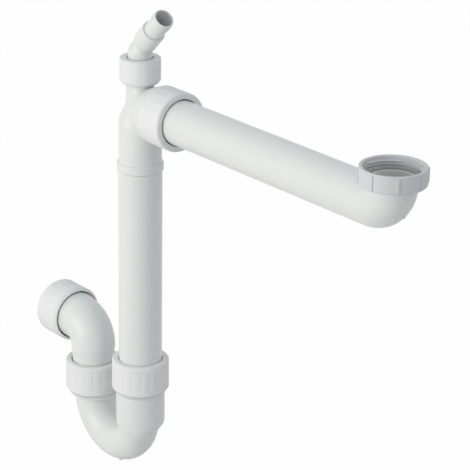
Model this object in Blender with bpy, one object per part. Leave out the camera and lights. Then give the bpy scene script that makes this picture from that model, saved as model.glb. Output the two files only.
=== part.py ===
# Space-saving sink trap: inlet arm, tee with a hose port, riser, U-bend and outlet elbow.
# Metres, +Z up. The origin is on the inlet's axis, at the top face of the inlet gasket.
# +X runs along the arm, from the riser towards the inlet. All pipes lie in the XZ plane.

import math

import bmesh
import bpy
from mathutils import Matrix, Vector

MM = 0.001

# Facets round a pipe; a multiple of four keeps the facets of nested pipes in line
SIDES = 24
UNION_SIDES = 40
NOZZLE_SIDES = 20
ELBOW_STEPS = 6
UBEND_STEPS = 10
EASE_STEPS = 2

# Edges sharper than this many degrees stay crisp
SMOOTH_ANGLE = 32.0

# Mesh tolerances
WELD_DISTANCE = 0.001 * MM
SKIN_TOLERANCE = 0.01 * MM

# Clearances between pieces
GAP = 0.3 * MM
SLIDE_FIT = 0.4 * MM
THREAD_FIT = 0.3 * MM
SEAT_FIT = 0.33 * MM

# Pipes
PIPE_RADIUS = 20.0 * MM
PIPE_WALL = 2.2 * MM
RISER_WALL = 2.0 * MM

# Bevelled end of a plain pipe
END_CHAMFER = 0.7 * MM
END_CHAMFER_LENGTH = 1.0 * MM

# How far the pipes run; every other place follows from these
ARM_REACH = 320.0 * MM
RISER_DROP = 244.6 * MM
LEG_SPACING = 75.0 * MM
OUTLET_RISE = 35.9 * MM

# Bare length between an upright pipe's skin and the mouth of the nut beside it
TEE_NUT_MARGIN = 8.4 * MM
OUTLET_NUT_MARGIN = 5.0 * MM

# How far a pipe is pushed into its socket, measured from the socket's mouth
ARM_INSERTION = 22.0 * MM
RISER_INSERTION = 36.2 * MM

# Slip nut, the same on all four slip joints
NUT_WALL = 3.6 * MM
NUT_LENGTH = 31.0 * MM
NUT_FLANGE = 2.6 * MM
NUT_HOLE_PLAY = 1.3 * MM
NUT_EDGE_ROUND = 2.2 * MM
NUT_CHAMFER = 2.7 * MM
NUT_MOUTH_INSET = 1.9 * MM
GRIP_COUNT = 20
GRIP_DEPTH = 0.35 * MM
GRIP_MARGIN = 3.6 * MM

# Slip joint's washer, cone seal and threaded socket
WASHER_THICKNESS = 1.6 * MM
WASHER_PLAY = 0.5 * MM
SEAL_HEAD = 2.5 * MM
SEAL_CONE = 2.3 * MM
SEAT_WIDTH = 1.6 * MM
SEAT_DEPTH = 3.6 * MM
SOCKET_WALL = 2.3 * MM
COLLAR_RISE = 1.9 * MM
COLLAR_LENGTH = 3.1 * MM

# Inlet elbow's flange and gasket
INLET_THROAT = 0.6 * MM
INLET_NECK = 1.8 * MM
FLANGE_WIDTH = 2.2 * MM
FLANGE_THICKNESS = 2.6 * MM
GASKET_THICKNESS = 2.3 * MM
GASKET_WIDTH = 2.1 * MM
GASKET_INSET = 0.2 * MM

# Union nut
UNION_PLAY = 1.7 * MM
UNION_WALL = 3.1 * MM
UNION_RIM = 7.4 * MM
UNION_LIP = 1.7 * MM
UNION_HOLE_PLAY = 0.5 * MM
UNION_CHAMFER = 1.0 * MM
UNION_INNER_BEVEL = 0.5 * UNION_CHAMFER
UNION_OUTER_BEVEL = 0.4 * UNION_CHAMFER
RIB_COUNT = 8
RIB_PHASE = 8.4
RIB_WIDTH = 2.4 * MM
RIB_HEIGHT = 0.9 * MM
RIB_TOP_MARGIN = 1.2 * MM
RIB_FOOT_MARGIN = 2.2 * MM

# Tee: heights are measured from the arm's axis
TEE_TAPER = 0.6 * MM
TEE_WALL = 2.2 * MM
SHOULDER_BELOW = 14.9 * MM
SHOULDER_ABOVE = 7.4 * MM
SHOULDER_STEPS = 5
BEAD_DROP = 50.6 * MM
BEAD_LENGTH = 8.1 * MM
BEAD_RISE = 1.1 * MM
BEAD_ROUND = 1.4 * MM
BEAD_EASE = 0.6 * MM
SPIGOT_LENGTH = 10.0 * MM
SPIGOT_LEAD = 0.8 * MM
BORE_SHOULDER_RISE = 6.0 * MM
BORE_STEP_RISE = 4.0 * MM
BRANCH_START = 8.0 * MM
BRANCH_ROOT = 6.0 * MM
BRANCH_STOP_MARGIN = 2.1 * MM
BRANCH_STEPS = 5
PASSAGE_START = 4.0 * MM
PASSAGE_ROOT = 9.0 * MM
PASSAGE_MIDDLE = 12.0 * MM
PASSAGE_THROAT = 15.5 * MM
PASSAGE_THROAT_REACH = 8.0 * MM
CUT_OVERRUN = 1.0 * MM

# Hose port on top of the tee, and its nut, whose foot lies this far below the arm nut's top
HOSE_NUT_OVERHANG = 3.5 * MM
NECK_RADIUS = 12.8 * MM
NECK_WALL = 2.2 * MM
NECK_COLLAR = 0.8 * MM
NECK_COLLAR_LENGTH = 2.2 * MM
PORT_THREAD = 2.5 * MM
PORT_THREAD_FOOT = 1.5 * MM
PORT_THREAD_RUNOUT = 1.2 * MM
HOSE_NUT_WALL = 2.8 * MM
HOSE_NUT_LENGTH = 22.4 * MM
HOSE_NUT_CHAMFER = 3.0 * MM
HOSE_NUT_EDGE = 0.9 * MM
HOSE_NUT_LAND = 0.8 * MM
HOSE_NUT_PLAY = 2.0 * MM
HOSE_GASKET_THICKNESS = 2.0 * MM
HOSE_GASKET_PLAY = 1.2 * MM

# Hose nozzle
NOZZLE_FLANGE = 2.3 * MM
NOZZLE_FLANGE_INSET = 0.5 * MM
NOZZLE_BORE = 7.8 * MM
NOZZLE_WALL = 3.1 * MM
NOZZLE_TAPER = 0.5 * MM
NOZZLE_CORNER_RISE = 8.0 * MM
NOZZLE_BEND = 12.0 * MM
NOZZLE_BEND_STEPS = 4
NOZZLE_WAIST = 1.5 * MM
NOZZLE_ANGLE = 45.0
NOZZLE_BODY = 27.7 * MM
NOZZLE_TAIL = 20.9 * MM
TAIL_WALL = 1.4 * MM
TAIL_LEAD = 0.6 * MM
BARB_HEIGHT = 0.45 * MM
BARB_COUNT = 3

# Trap: the sockets run into the first and last few degrees of the U
SOCKET_DEPTH = 62.3 * MM
BEND_TAPER = 2.2 * MM
BEND_WALL = 2.2 * MM
TRAP_STOP = 1.8 * MM
SOCKET_FOOT_TURN = 5.4
SOCKET_EASE_TURN = 8.0
LEG_COLLAR = 2.8 * MM
LEG_RING_TURN = 2.5
LEG_EASE_TURN = 4.0
LEG_RING_RISE = 1.2 * MM
LEG_END_CLEARANCE = 1.2 * MM
GATE_STUB_RADIUS = 1.9 * MM
GATE_STUB_LENGTH = 3.4 * MM
GATE_STUB_TURN = 6.0
GATE_STUB_SIDES = 12

# Outlet elbow
OUTLET_BODY_RISE = 1.0 * MM
OUTLET_THROAT = 0.5 * MM
OUTLET_EASE = 9.0 * MM
OUTLET_COLLAR_RISE = 1.1 * MM
OUTLET_COLLAR_EASE = 1.0 * MM
OUTLET_THREAD = 14.0 * MM
OUTLET_STOP = 2.5 * MM

# Radii that follow from the sizes above
SOCKET_BORE = PIPE_RADIUS + SLIDE_FIT
SOCKET_RADIUS = SOCKET_BORE + SOCKET_WALL
NUT_BORE = SOCKET_RADIUS + THREAD_FIT
NUT_RADIUS = NUT_BORE + NUT_WALL
NUT_HOLE = PIPE_RADIUS + NUT_HOLE_PLAY
FLANGE_RADIUS = PIPE_RADIUS + FLANGE_WIDTH
GASKET_RADIUS = FLANGE_RADIUS - GASKET_INSET
GASKET_BORE = GASKET_RADIUS - GASKET_WIDTH
UNION_BORE = FLANGE_RADIUS + UNION_PLAY
UNION_RADIUS = UNION_BORE + UNION_WALL
INLET_BEND = PIPE_RADIUS + INLET_THROAT
TEE_RADIUS = PIPE_RADIUS - TEE_TAPER
BEAD_RADIUS = PIPE_RADIUS + BEAD_RISE
NECK_BORE = NECK_RADIUS - NECK_WALL
PORT_RADIUS = NECK_RADIUS + PORT_THREAD
NOZZLE_RADIUS = NOZZLE_BORE + NOZZLE_WALL
NOZZLE_FLANGE_RADIUS = PORT_RADIUS - NOZZLE_FLANGE_INSET
TAIL_RADIUS = NOZZLE_BORE + TAIL_WALL
HOSE_NUT_BORE = PORT_RADIUS + THREAD_FIT
HOSE_NUT_RADIUS = HOSE_NUT_BORE + HOSE_NUT_WALL
HOSE_NUT_HOLE = NOZZLE_RADIUS + HOSE_NUT_PLAY
BEND_RADIUS = PIPE_RADIUS - BEND_TAPER
LEG_RING_RADIUS = PIPE_RADIUS + LEG_RING_RISE
OUTLET_BODY_RADIUS = PIPE_RADIUS + OUTLET_BODY_RISE
OUTLET_BEND = OUTLET_BODY_RADIUS + OUTLET_THROAT

# Distances from an upright pipe's axis
TEE_NUT_REACH = TEE_RADIUS + TEE_NUT_MARGIN + NUT_LENGTH
BRANCH_STOP = TEE_RADIUS + BRANCH_STOP_MARGIN
OUTLET_NUT_REACH = OUTLET_BODY_RADIUS + OUTLET_NUT_MARGIN + NUT_LENGTH

# Heights in a slip joint, from the nut's closed face
WASHER_TOP = -(NUT_FLANGE + GAP)
SEAL_TOP = WASHER_TOP - WASHER_THICKNESS - GAP
SOCKET_MOUTH = SEAL_TOP - SEAL_HEAD - GAP
COLLAR_TOP = -(NUT_LENGTH + GAP)

# Places in the whole trap
FLANGE_TOP = -(GASKET_THICKNESS + GAP)
FLANGE_FOOT = FLANGE_TOP - FLANGE_THICKNESS
ARM_AXIS = FLANGE_FOOT - INLET_NECK - INLET_BEND
RISER_X = -ARM_REACH
BEAD_HIGH = ARM_AXIS - BEAD_DROP
BEAD_LOW = BEAD_HIGH - BEAD_LENGTH
HOSE_NUT_FOOT = ARM_AXIS + NUT_RADIUS - HOSE_NUT_OVERHANG
HOSE_NUT_TOP = HOSE_NUT_FOOT + HOSE_NUT_LENGTH
NOZZLE_FLANGE_TOP = HOSE_NUT_TOP - NUT_FLANGE - GAP
NOZZLE_FOOT = NOZZLE_FLANGE_TOP - NOZZLE_FLANGE
HOSE_GASKET_TOP = NOZZLE_FOOT - GAP
PORT_TOP = HOSE_GASKET_TOP - HOSE_GASKET_THICKNESS - GAP
RISER_NUT_TOP = ARM_AXIS - RISER_DROP
RISER_MOUTH = RISER_NUT_TOP + SOCKET_MOUTH
RISER_END = RISER_MOUTH - RISER_INSERTION
UBEND_START = RISER_NUT_TOP - SOCKET_DEPTH
LEG_X = RISER_X - LEG_SPACING
LEG_COLLAR_TOP = UBEND_START + LEG_COLLAR
LEG_NUT_TOP = LEG_COLLAR_TOP - COLLAR_TOP
LEG_MOUTH = LEG_NUT_TOP + SOCKET_MOUTH
LEG_STOP = LEG_NUT_TOP - NUT_LENGTH + TRAP_STOP
OUTLET_AXIS = LEG_NUT_TOP + OUTLET_RISE

UP = 90.0
DOWN = -90.0
RIGHT = 0.0
LEFT = 180.0


# Materials
def plastic(name, colour, roughness):
    material = bpy.data.materials.new(name)
    material.use_nodes = True
    shader = material.node_tree.nodes["Principled BSDF"]
    shader.inputs["Base Color"].default_value = (*colour, 1.0)
    shader.inputs["Roughness"].default_value = roughness
    shader.inputs["Metallic"].default_value = 0.0
    return material


WHITE = (0.80, 0.81, 0.81)
NUT_WHITE = (0.78, 0.79, 0.79)
UNION_GREY = (0.66, 0.66, 0.68)
SEAL_GREY = (0.09, 0.09, 0.10)
WASHER_WHITE = (0.72, 0.73, 0.74)

PIPE_ROUGHNESS = 0.40
NUT_ROUGHNESS = 0.42
UNION_ROUGHNESS = 0.45
SEAL_ROUGHNESS = 0.60
WASHER_ROUGHNESS = 0.35


# Shared ways to make a piece
def finish(bm, name, place, colour, roughness):
    bmesh.ops.recalc_face_normals(bm, faces=bm.faces)
    mesh = bpy.data.meshes.new(name)
    bm.to_mesh(mesh)
    bm.free()
    mesh.shade_smooth()
    mesh.set_sharp_from_angle(angle=math.radians(SMOOTH_ANGLE))
    piece = bpy.data.objects.new(name, mesh)
    piece.matrix_world = place
    mesh.materials.append(plastic(name + "_plastic", colour, roughness))
    bpy.context.scene.collection.objects.link(piece)
    return piece


def heading_frame(x, z, heading):
    """A frame at (x, 0, z) whose local Z points along the heading, in degrees from +X up to +Z."""
    turn = math.radians(heading)
    along = Vector((math.cos(turn), 0.0, math.sin(turn)))
    across = Vector((math.sin(turn), 0.0, -math.cos(turn)))
    frame = Matrix.Identity(4)
    frame.col[0].xyz = across
    frame.col[1].xyz = (0.0, 1.0, 0.0)
    frame.col[2].xyz = along
    frame.col[3].xyz = (x, 0.0, z)
    return frame


def turned(profile, sides=SIDES):
    """A ring: a closed outline of (radius, height) points spun about local Z."""
    bm = bmesh.new()
    points = [bm.verts.new((radius, 0.0, height)) for radius, height in profile]
    edges = [bm.edges.new(pair) for pair in zip(points, points[1:] + points[:1])]
    bmesh.ops.spin(bm, geom=points + edges, cent=(0, 0, 0), axis=(0, 0, 1), dvec=(0, 0, 0),
                   angle=math.tau, steps=sides, use_merge=True, use_duplicate=False)
    return bm


def turned_solid(profile, sides=SIDES):
    """A full body: an outline that starts and ends on local Z, spun about it."""
    bm = bmesh.new()
    points = [bm.verts.new((radius, 0.0, height)) for radius, height in profile]
    edges = [bm.edges.new(pair) for pair in zip(points, points[1:])]
    bmesh.ops.spin(bm, geom=points + edges, cent=(0, 0, 0), axis=(0, 0, 1), dvec=(0, 0, 0),
                   angle=math.tau, steps=sides, use_merge=True, use_duplicate=False)
    bmesh.ops.remove_doubles(bm, verts=bm.verts, dist=WELD_DISTANCE)
    return bm


def cutter(bm, name, place):
    """A hidden body that another piece is joined to or cut by."""
    bmesh.ops.recalc_face_normals(bm, faces=bm.faces)
    mesh = bpy.data.meshes.new(name)
    bm.to_mesh(mesh)
    bm.free()
    body = bpy.data.objects.new(name, mesh)
    body.matrix_world = place
    body.hide_render = True
    body.display_type = "WIRE"
    bpy.context.scene.collection.objects.link(body)
    return body


def combine(piece, other, operation):
    change = piece.modifiers.new(other.name, "BOOLEAN")
    change.operation = operation
    change.solver = "EXACT"
    change.object = other


class Route:
    """The rings of one skin of a pipe, from its start on, in the XZ plane."""

    def __init__(self, x, z, heading, radius):
        self.rings = [(x, z, heading, radius)]

    def line(self, length, radius=None):
        x, z, heading, last = self.rings[-1]
        turn = math.radians(heading)
        x += length * math.cos(turn)
        z += length * math.sin(turn)
        self.rings.append((x, z, heading, last if radius is None else radius))

    def step(self, radius):
        self.line(0.0, radius)

    def bend(self, bend_radius, degrees, steps, radius=None):
        x, z, first, last = self.rings[-1]
        end = last if radius is None else radius
        side = math.copysign(bend_radius, degrees)
        centre_x = x - side * math.sin(math.radians(first))
        centre_z = z + side * math.cos(math.radians(first))
        for index in range(1, steps + 1):
            heading = first + degrees * index / steps
            turn = math.radians(heading)
            x = centre_x + side * math.sin(turn)
            z = centre_z - side * math.cos(turn)
            self.rings.append((x, z, heading, last + (end - last) * index / steps))


def pipe(outer, inner, sides=SIDES):
    """One closed wall, grown ring by ring out along the outer skin and back along the inner one."""
    rings = outer.rings + inner.rings[::-1] + outer.rings[:1]
    bm = bmesh.new()
    x, z, heading, radius = rings[0]
    frame = heading_frame(x, z, heading)
    verts = bmesh.ops.create_circle(bm, segments=sides, radius=radius, matrix=frame)["verts"]
    edges = list({edge for vert in verts for edge in vert.link_edges})
    for x, z, heading, next_radius in rings[1:]:
        grown = bmesh.ops.extrude_edge_only(bm, edges=edges)["geom"]
        verts = [item for item in grown if isinstance(item, bmesh.types.BMVert)]
        edges = [item for item in grown if isinstance(item, bmesh.types.BMEdge)]
        next_frame = heading_frame(x, z, heading)
        size = next_radius / radius
        move = next_frame @ Matrix.Diagonal((size, size, 1.0, 1.0)) @ frame.inverted()
        bmesh.ops.transform(bm, matrix=move, verts=verts)
        frame = next_frame
        radius = next_radius
    bmesh.ops.remove_doubles(bm, verts=bm.verts, dist=WELD_DISTANCE)
    return bm


# Slip joint: local Z points out of the socket, and local zero is the nut's closed face
def slip_nut(name, place):
    round_middle = NUT_EDGE_ROUND * (1.0 - math.sqrt(0.5))
    grip_foot = -(NUT_LENGTH - NUT_CHAMFER - GRIP_MARGIN)
    profile = [
        (NUT_HOLE, -NUT_FLANGE),
        (NUT_HOLE, 0.0),
        (NUT_RADIUS - NUT_EDGE_ROUND, 0.0),
        (NUT_RADIUS - round_middle, -round_middle),
        (NUT_RADIUS, -NUT_EDGE_ROUND),
        (NUT_RADIUS, -GRIP_MARGIN),
        (NUT_RADIUS, grip_foot),
        (NUT_RADIUS, -(NUT_LENGTH - NUT_CHAMFER)),
        (NUT_RADIUS - NUT_MOUTH_INSET, -NUT_LENGTH),
        (NUT_BORE, -NUT_LENGTH),
        (NUT_BORE, -NUT_FLANGE),
    ]
    bm = turned(profile, 2 * GRIP_COUNT)
    press_grips(bm, grip_foot, -GRIP_MARGIN)
    return finish(bm, name, place, NUT_WHITE, NUT_ROUGHNESS)


def press_grips(bm, low, high):
    """Pushes every second upright line of the nut's outer skin in, which leaves shallow flutes."""
    near = SKIN_TOLERANCE
    sector = 0.5 * math.tau / GRIP_COUNT
    for vert in bm.verts:
        on_skin = abs(vert.co.xy.length - NUT_RADIUS) < near
        if not on_skin or not low - near < vert.co.z < high + near:
            continue
        if round(math.atan2(vert.co.y, vert.co.x) / sector) % 2:
            vert.co.xy *= (NUT_RADIUS - GRIP_DEPTH) / NUT_RADIUS


def slip_washer(name, place):
    inner = PIPE_RADIUS + WASHER_PLAY
    outer = NUT_BORE - SLIDE_FIT
    foot = WASHER_TOP - WASHER_THICKNESS
    profile = [(inner, foot), (inner, WASHER_TOP), (outer, WASHER_TOP), (outer, foot)]
    return finish(turned(profile), name, place, WASHER_WHITE, WASHER_ROUGHNESS)


def cone_seal(name, place):
    inner = PIPE_RADIUS + GAP
    head_foot = SEAL_TOP - SEAL_HEAD
    tip = SOCKET_MOUTH - SEAL_CONE
    seat_top = SOCKET_BORE + SEAT_WIDTH
    slope = SEAT_WIDTH / SEAT_DEPTH
    cone_top = seat_top - SEAT_FIT + slope * GAP
    cone_tip = seat_top - SEAT_FIT - slope * SEAL_CONE
    profile = [
        (inner, tip),
        (inner, SEAL_TOP),
        (NUT_BORE - 2.0 * GAP, SEAL_TOP),
        (NUT_BORE - 2.0 * GAP, head_foot),
        (cone_top, head_foot),
        (cone_tip, tip),
    ]
    return finish(turned(profile), name, place, SEAL_GREY, SEAL_ROUGHNESS)


def slip_joint(prefix, place):
    slip_nut(prefix + "_slip_nut", place)
    slip_washer(prefix + "_slip_washer", place)
    cone_seal(prefix + "_cone_seal", place)


# Inlet
def inlet_arm():
    end_x = RISER_X + TEE_NUT_REACH + SOCKET_MOUTH - ARM_INSERTION
    run = -INLET_BEND - end_x
    outer = Route(end_x, ARM_AXIS, RIGHT, PIPE_RADIUS)
    outer.line(run)
    outer.bend(INLET_BEND, 90.0, ELBOW_STEPS)
    outer.line(INLET_NECK)
    outer.step(FLANGE_RADIUS)
    outer.line(FLANGE_THICKNESS)
    inner = Route(end_x, ARM_AXIS, RIGHT, PIPE_RADIUS - PIPE_WALL)
    inner.line(run)
    inner.bend(INLET_BEND, 90.0, ELBOW_STEPS)
    inner.line(INLET_NECK + FLANGE_THICKNESS)
    return finish(pipe(outer, inner), "inlet_arm", Matrix.Identity(4), WHITE, PIPE_ROUGHNESS)


def inlet_gasket():
    profile = [
        (GASKET_BORE, -GASKET_THICKNESS),
        (GASKET_BORE, 0.0),
        (GASKET_RADIUS, 0.0),
        (GASKET_RADIUS, -GASKET_THICKNESS),
    ]
    return finish(turned(profile), "inlet_gasket", Matrix.Identity(4), SEAL_GREY, SEAL_ROUGHNESS)


def inlet_nut():
    lip_top = FLANGE_FOOT - GAP
    foot = lip_top - UNION_LIP
    hole = PIPE_RADIUS + UNION_HOLE_PLAY
    profile = [
        (hole, foot),
        (hole, lip_top),
        (UNION_BORE, lip_top),
        (UNION_BORE, UNION_RIM - UNION_CHAMFER),
        (UNION_BORE + UNION_INNER_BEVEL, UNION_RIM),
        (UNION_RADIUS - UNION_OUTER_BEVEL, UNION_RIM),
        (UNION_RADIUS, UNION_RIM - UNION_CHAMFER),
        (UNION_RADIUS, foot + UNION_CHAMFER),
        (UNION_RADIUS - UNION_CHAMFER, foot),
    ]
    nut = finish(turned(profile, UNION_SIDES), "inlet_nut", Matrix.Identity(4), UNION_GREY, UNION_ROUGHNESS)
    ribs = bmesh.new()
    low = foot + RIB_FOOT_MARGIN
    high = UNION_RIM - RIB_TOP_MARGIN
    root = UNION_RADIUS - UNION_CHAMFER
    tip = UNION_RADIUS + RIB_HEIGHT
    for index in range(RIB_COUNT):
        angle = math.radians(RIB_PHASE + 360.0 / RIB_COUNT * index)
        turn = Matrix.Rotation(angle, 4, "Z")
        move = Matrix.Translation((0.5 * (root + tip), 0.0, 0.5 * (low + high)))
        size = Matrix.Diagonal((tip - root, RIB_WIDTH, high - low, 1.0))
        bmesh.ops.create_cube(ribs, size=1.0, matrix=turn @ move @ size)
    combine(nut, cutter(ribs, "inlet_nut_ribs", Matrix.Identity(4)), "UNION")
    return nut


# Tee
def smooth_step(share):
    return share * share * (3.0 - 2.0 * share)


def tee_profile(body, neck, top, foot):
    """The upright body's outline, from its foot to its top, with the shoulder between."""
    outline = [(body, foot)]
    for index in range(SHOULDER_STEPS + 1):
        share = index / SHOULDER_STEPS
        height = ARM_AXIS - SHOULDER_BELOW + (SHOULDER_BELOW + SHOULDER_ABOVE) * share
        outline.append((body + (neck - body) * smooth_step(share), height))
    outline.append((neck, top))
    return outline


def branch_profile(root, throat, stop):
    """The branch's outline, which swells from inside the body out to the socket."""
    outline = []
    for index in range(BRANCH_STEPS + 1):
        share = index / BRANCH_STEPS
        reach = -BRANCH_START + (stop + BRANCH_START) * share
        outline.append((root + (throat - root) * math.sin(0.5 * math.pi * share), reach))
    return outline


def tee_body():
    collar_top = HOSE_NUT_FOOT - GAP
    collar_foot = collar_top - NECK_COLLAR_LENGTH
    spigot_foot = BEAD_LOW - SPIGOT_LENGTH
    spigot_radius = PIPE_RADIUS - RISER_WALL - GAP
    outline = [
        (0.0, spigot_foot),
        (spigot_radius - SPIGOT_LEAD, spigot_foot),
        (spigot_radius, spigot_foot + SPIGOT_LEAD),
        (spigot_radius, BEAD_LOW),
        (BEAD_RADIUS - BEAD_EASE, BEAD_LOW),
        (BEAD_RADIUS, BEAD_LOW + BEAD_ROUND),
        (BEAD_RADIUS, BEAD_HIGH - BEAD_ROUND),
        (BEAD_RADIUS - BEAD_EASE, BEAD_HIGH),
    ]
    outline += tee_profile(TEE_RADIUS, NECK_RADIUS, collar_foot, BEAD_HIGH)
    outline += [
        (NECK_RADIUS + NECK_COLLAR, collar_foot),
        (NECK_RADIUS + NECK_COLLAR, collar_top),
        (NECK_RADIUS, collar_top),
        (NECK_RADIUS, HOSE_NUT_FOOT + PORT_THREAD_FOOT),
        (PORT_RADIUS, HOSE_NUT_FOOT + PORT_THREAD_FOOT + PORT_THREAD_RUNOUT),
        (PORT_RADIUS, PORT_TOP),
        (0.0, PORT_TOP),
    ]
    upright = heading_frame(RISER_X, 0.0, UP)
    tee = finish(turned_solid(outline), "tee_body", upright, WHITE, PIPE_ROUGHNESS)

    sideways = heading_frame(RISER_X, ARM_AXIS, RIGHT)
    mouth = TEE_NUT_REACH + SOCKET_MOUTH
    collar = TEE_NUT_REACH + COLLAR_TOP
    branch = [(0.0, -BRANCH_START)]
    branch += branch_profile(BRANCH_ROOT, SOCKET_RADIUS, collar - COLLAR_LENGTH)
    branch += [
        (SOCKET_RADIUS + COLLAR_RISE, collar),
        (SOCKET_RADIUS, collar),
        (SOCKET_RADIUS, mouth),
        (0.0, mouth),
    ]
    combine(tee, cutter(turned_solid(branch), "tee_branch", sideways), "UNION")

    spigot_bore = spigot_radius - RISER_WALL
    bore_foot = spigot_foot - CUT_OVERRUN
    bore_top = PORT_TOP + CUT_OVERRUN
    bore = [
        (0.0, bore_foot),
        (spigot_bore, bore_foot),
        (spigot_bore, BEAD_LOW + BORE_STEP_RISE),
    ]
    bore += tee_profile(TEE_RADIUS - TEE_WALL, NECK_BORE, bore_top, BEAD_HIGH + BORE_SHOULDER_RISE)
    bore += [(0.0, bore_top)]
    combine(tee, cutter(turned_solid(bore), "tee_bore", upright), "DIFFERENCE")

    passage = [
        (0.0, -PASSAGE_START),
        (PASSAGE_ROOT, -PASSAGE_START),
        (PASSAGE_MIDDLE, 0.0),
        (PASSAGE_THROAT, PASSAGE_THROAT_REACH),
        (PIPE_RADIUS - PIPE_WALL, BRANCH_STOP - TEE_WALL),
        (PIPE_RADIUS - PIPE_WALL, BRANCH_STOP),
        (SOCKET_BORE, BRANCH_STOP),
        (SOCKET_BORE, mouth - SEAT_DEPTH),
        (SOCKET_BORE + SEAT_WIDTH, mouth),
        (SOCKET_BORE + SEAT_WIDTH, mouth + CUT_OVERRUN),
        (0.0, mouth + CUT_OVERRUN),
    ]
    combine(tee, cutter(turned_solid(passage), "tee_passage", sideways), "DIFFERENCE")
    return tee


def riser_tube():
    inner = PIPE_RADIUS - RISER_WALL
    profile = [
        (inner, RISER_END),
        (inner, BEAD_LOW - GAP),
        (PIPE_RADIUS, BEAD_LOW - GAP),
        (PIPE_RADIUS, RISER_END + END_CHAMFER_LENGTH),
        (PIPE_RADIUS - END_CHAMFER, RISER_END),
    ]
    return finish(turned(profile), "riser_tube", heading_frame(RISER_X, 0.0, UP), WHITE, PIPE_ROUGHNESS)


# Hose port
def hose_nut():
    flange_foot = HOSE_NUT_TOP - NUT_FLANGE
    profile = [
        (HOSE_NUT_HOLE, flange_foot),
        (HOSE_NUT_HOLE, HOSE_NUT_TOP),
        (HOSE_NUT_RADIUS - HOSE_NUT_EDGE, HOSE_NUT_TOP),
        (HOSE_NUT_RADIUS, HOSE_NUT_TOP - HOSE_NUT_EDGE),
        (HOSE_NUT_RADIUS, HOSE_NUT_FOOT + HOSE_NUT_CHAMFER),
        (HOSE_NUT_BORE + HOSE_NUT_LAND, HOSE_NUT_FOOT),
        (HOSE_NUT_BORE, HOSE_NUT_FOOT),
        (HOSE_NUT_BORE, flange_foot),
    ]
    return finish(turned(profile), "hose_nut", heading_frame(RISER_X, 0.0, UP), NUT_WHITE, NUT_ROUGHNESS)


def hose_gasket():
    foot = HOSE_GASKET_TOP - HOSE_GASKET_THICKNESS
    inner = NOZZLE_BORE + HOSE_GASKET_PLAY
    profile = [
        (inner, foot),
        (inner, HOSE_GASKET_TOP),
        (NOZZLE_FLANGE_RADIUS, HOSE_GASKET_TOP),
        (NOZZLE_FLANGE_RADIUS, foot),
    ]
    return finish(turned(profile), "hose_gasket", heading_frame(RISER_X, 0.0, UP), SEAL_GREY, SEAL_ROUGHNESS)


def hose_nozzle():
    tangent = NOZZLE_BEND * math.tan(math.radians(0.5 * NOZZLE_ANGLE))
    bend_foot = HOSE_NUT_TOP + NOZZLE_CORNER_RISE - tangent
    body = NOZZLE_BODY - tangent
    barb = NOZZLE_TAIL / (BARB_COUNT + 1)
    outer = Route(0.0, NOZZLE_FOOT, UP, NOZZLE_FLANGE_RADIUS)
    outer.line(NOZZLE_FLANGE)
    outer.step(NOZZLE_RADIUS)
    outer.line(bend_foot - NOZZLE_FLANGE_TOP)
    outer.bend(NOZZLE_BEND, -0.5 * NOZZLE_ANGLE, NOZZLE_BEND_STEPS // 2, NOZZLE_RADIUS - NOZZLE_WAIST)
    outer.bend(NOZZLE_BEND, -0.5 * NOZZLE_ANGLE, NOZZLE_BEND_STEPS // 2, NOZZLE_RADIUS)
    outer.line(body, NOZZLE_RADIUS - NOZZLE_TAPER)
    outer.line(TAIL_LEAD, NOZZLE_RADIUS - NOZZLE_TAPER - TAIL_LEAD)
    outer.step(TAIL_RADIUS)
    outer.line(barb - TAIL_LEAD)
    for index in range(BARB_COUNT):
        outer.step(TAIL_RADIUS + BARB_HEIGHT)
        outer.line(barb, TAIL_RADIUS)
    inner = Route(0.0, NOZZLE_FOOT, UP, NOZZLE_BORE)
    inner.line(bend_foot - NOZZLE_FOOT)
    inner.bend(NOZZLE_BEND, -NOZZLE_ANGLE, NOZZLE_BEND_STEPS)
    inner.line(body + NOZZLE_TAIL)
    place = Matrix.Translation((RISER_X, 0.0, 0.0))
    return finish(pipe(outer, inner, NOZZLE_SIDES), "hose_nozzle", place, WHITE, PIPE_ROUGHNESS)


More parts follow.
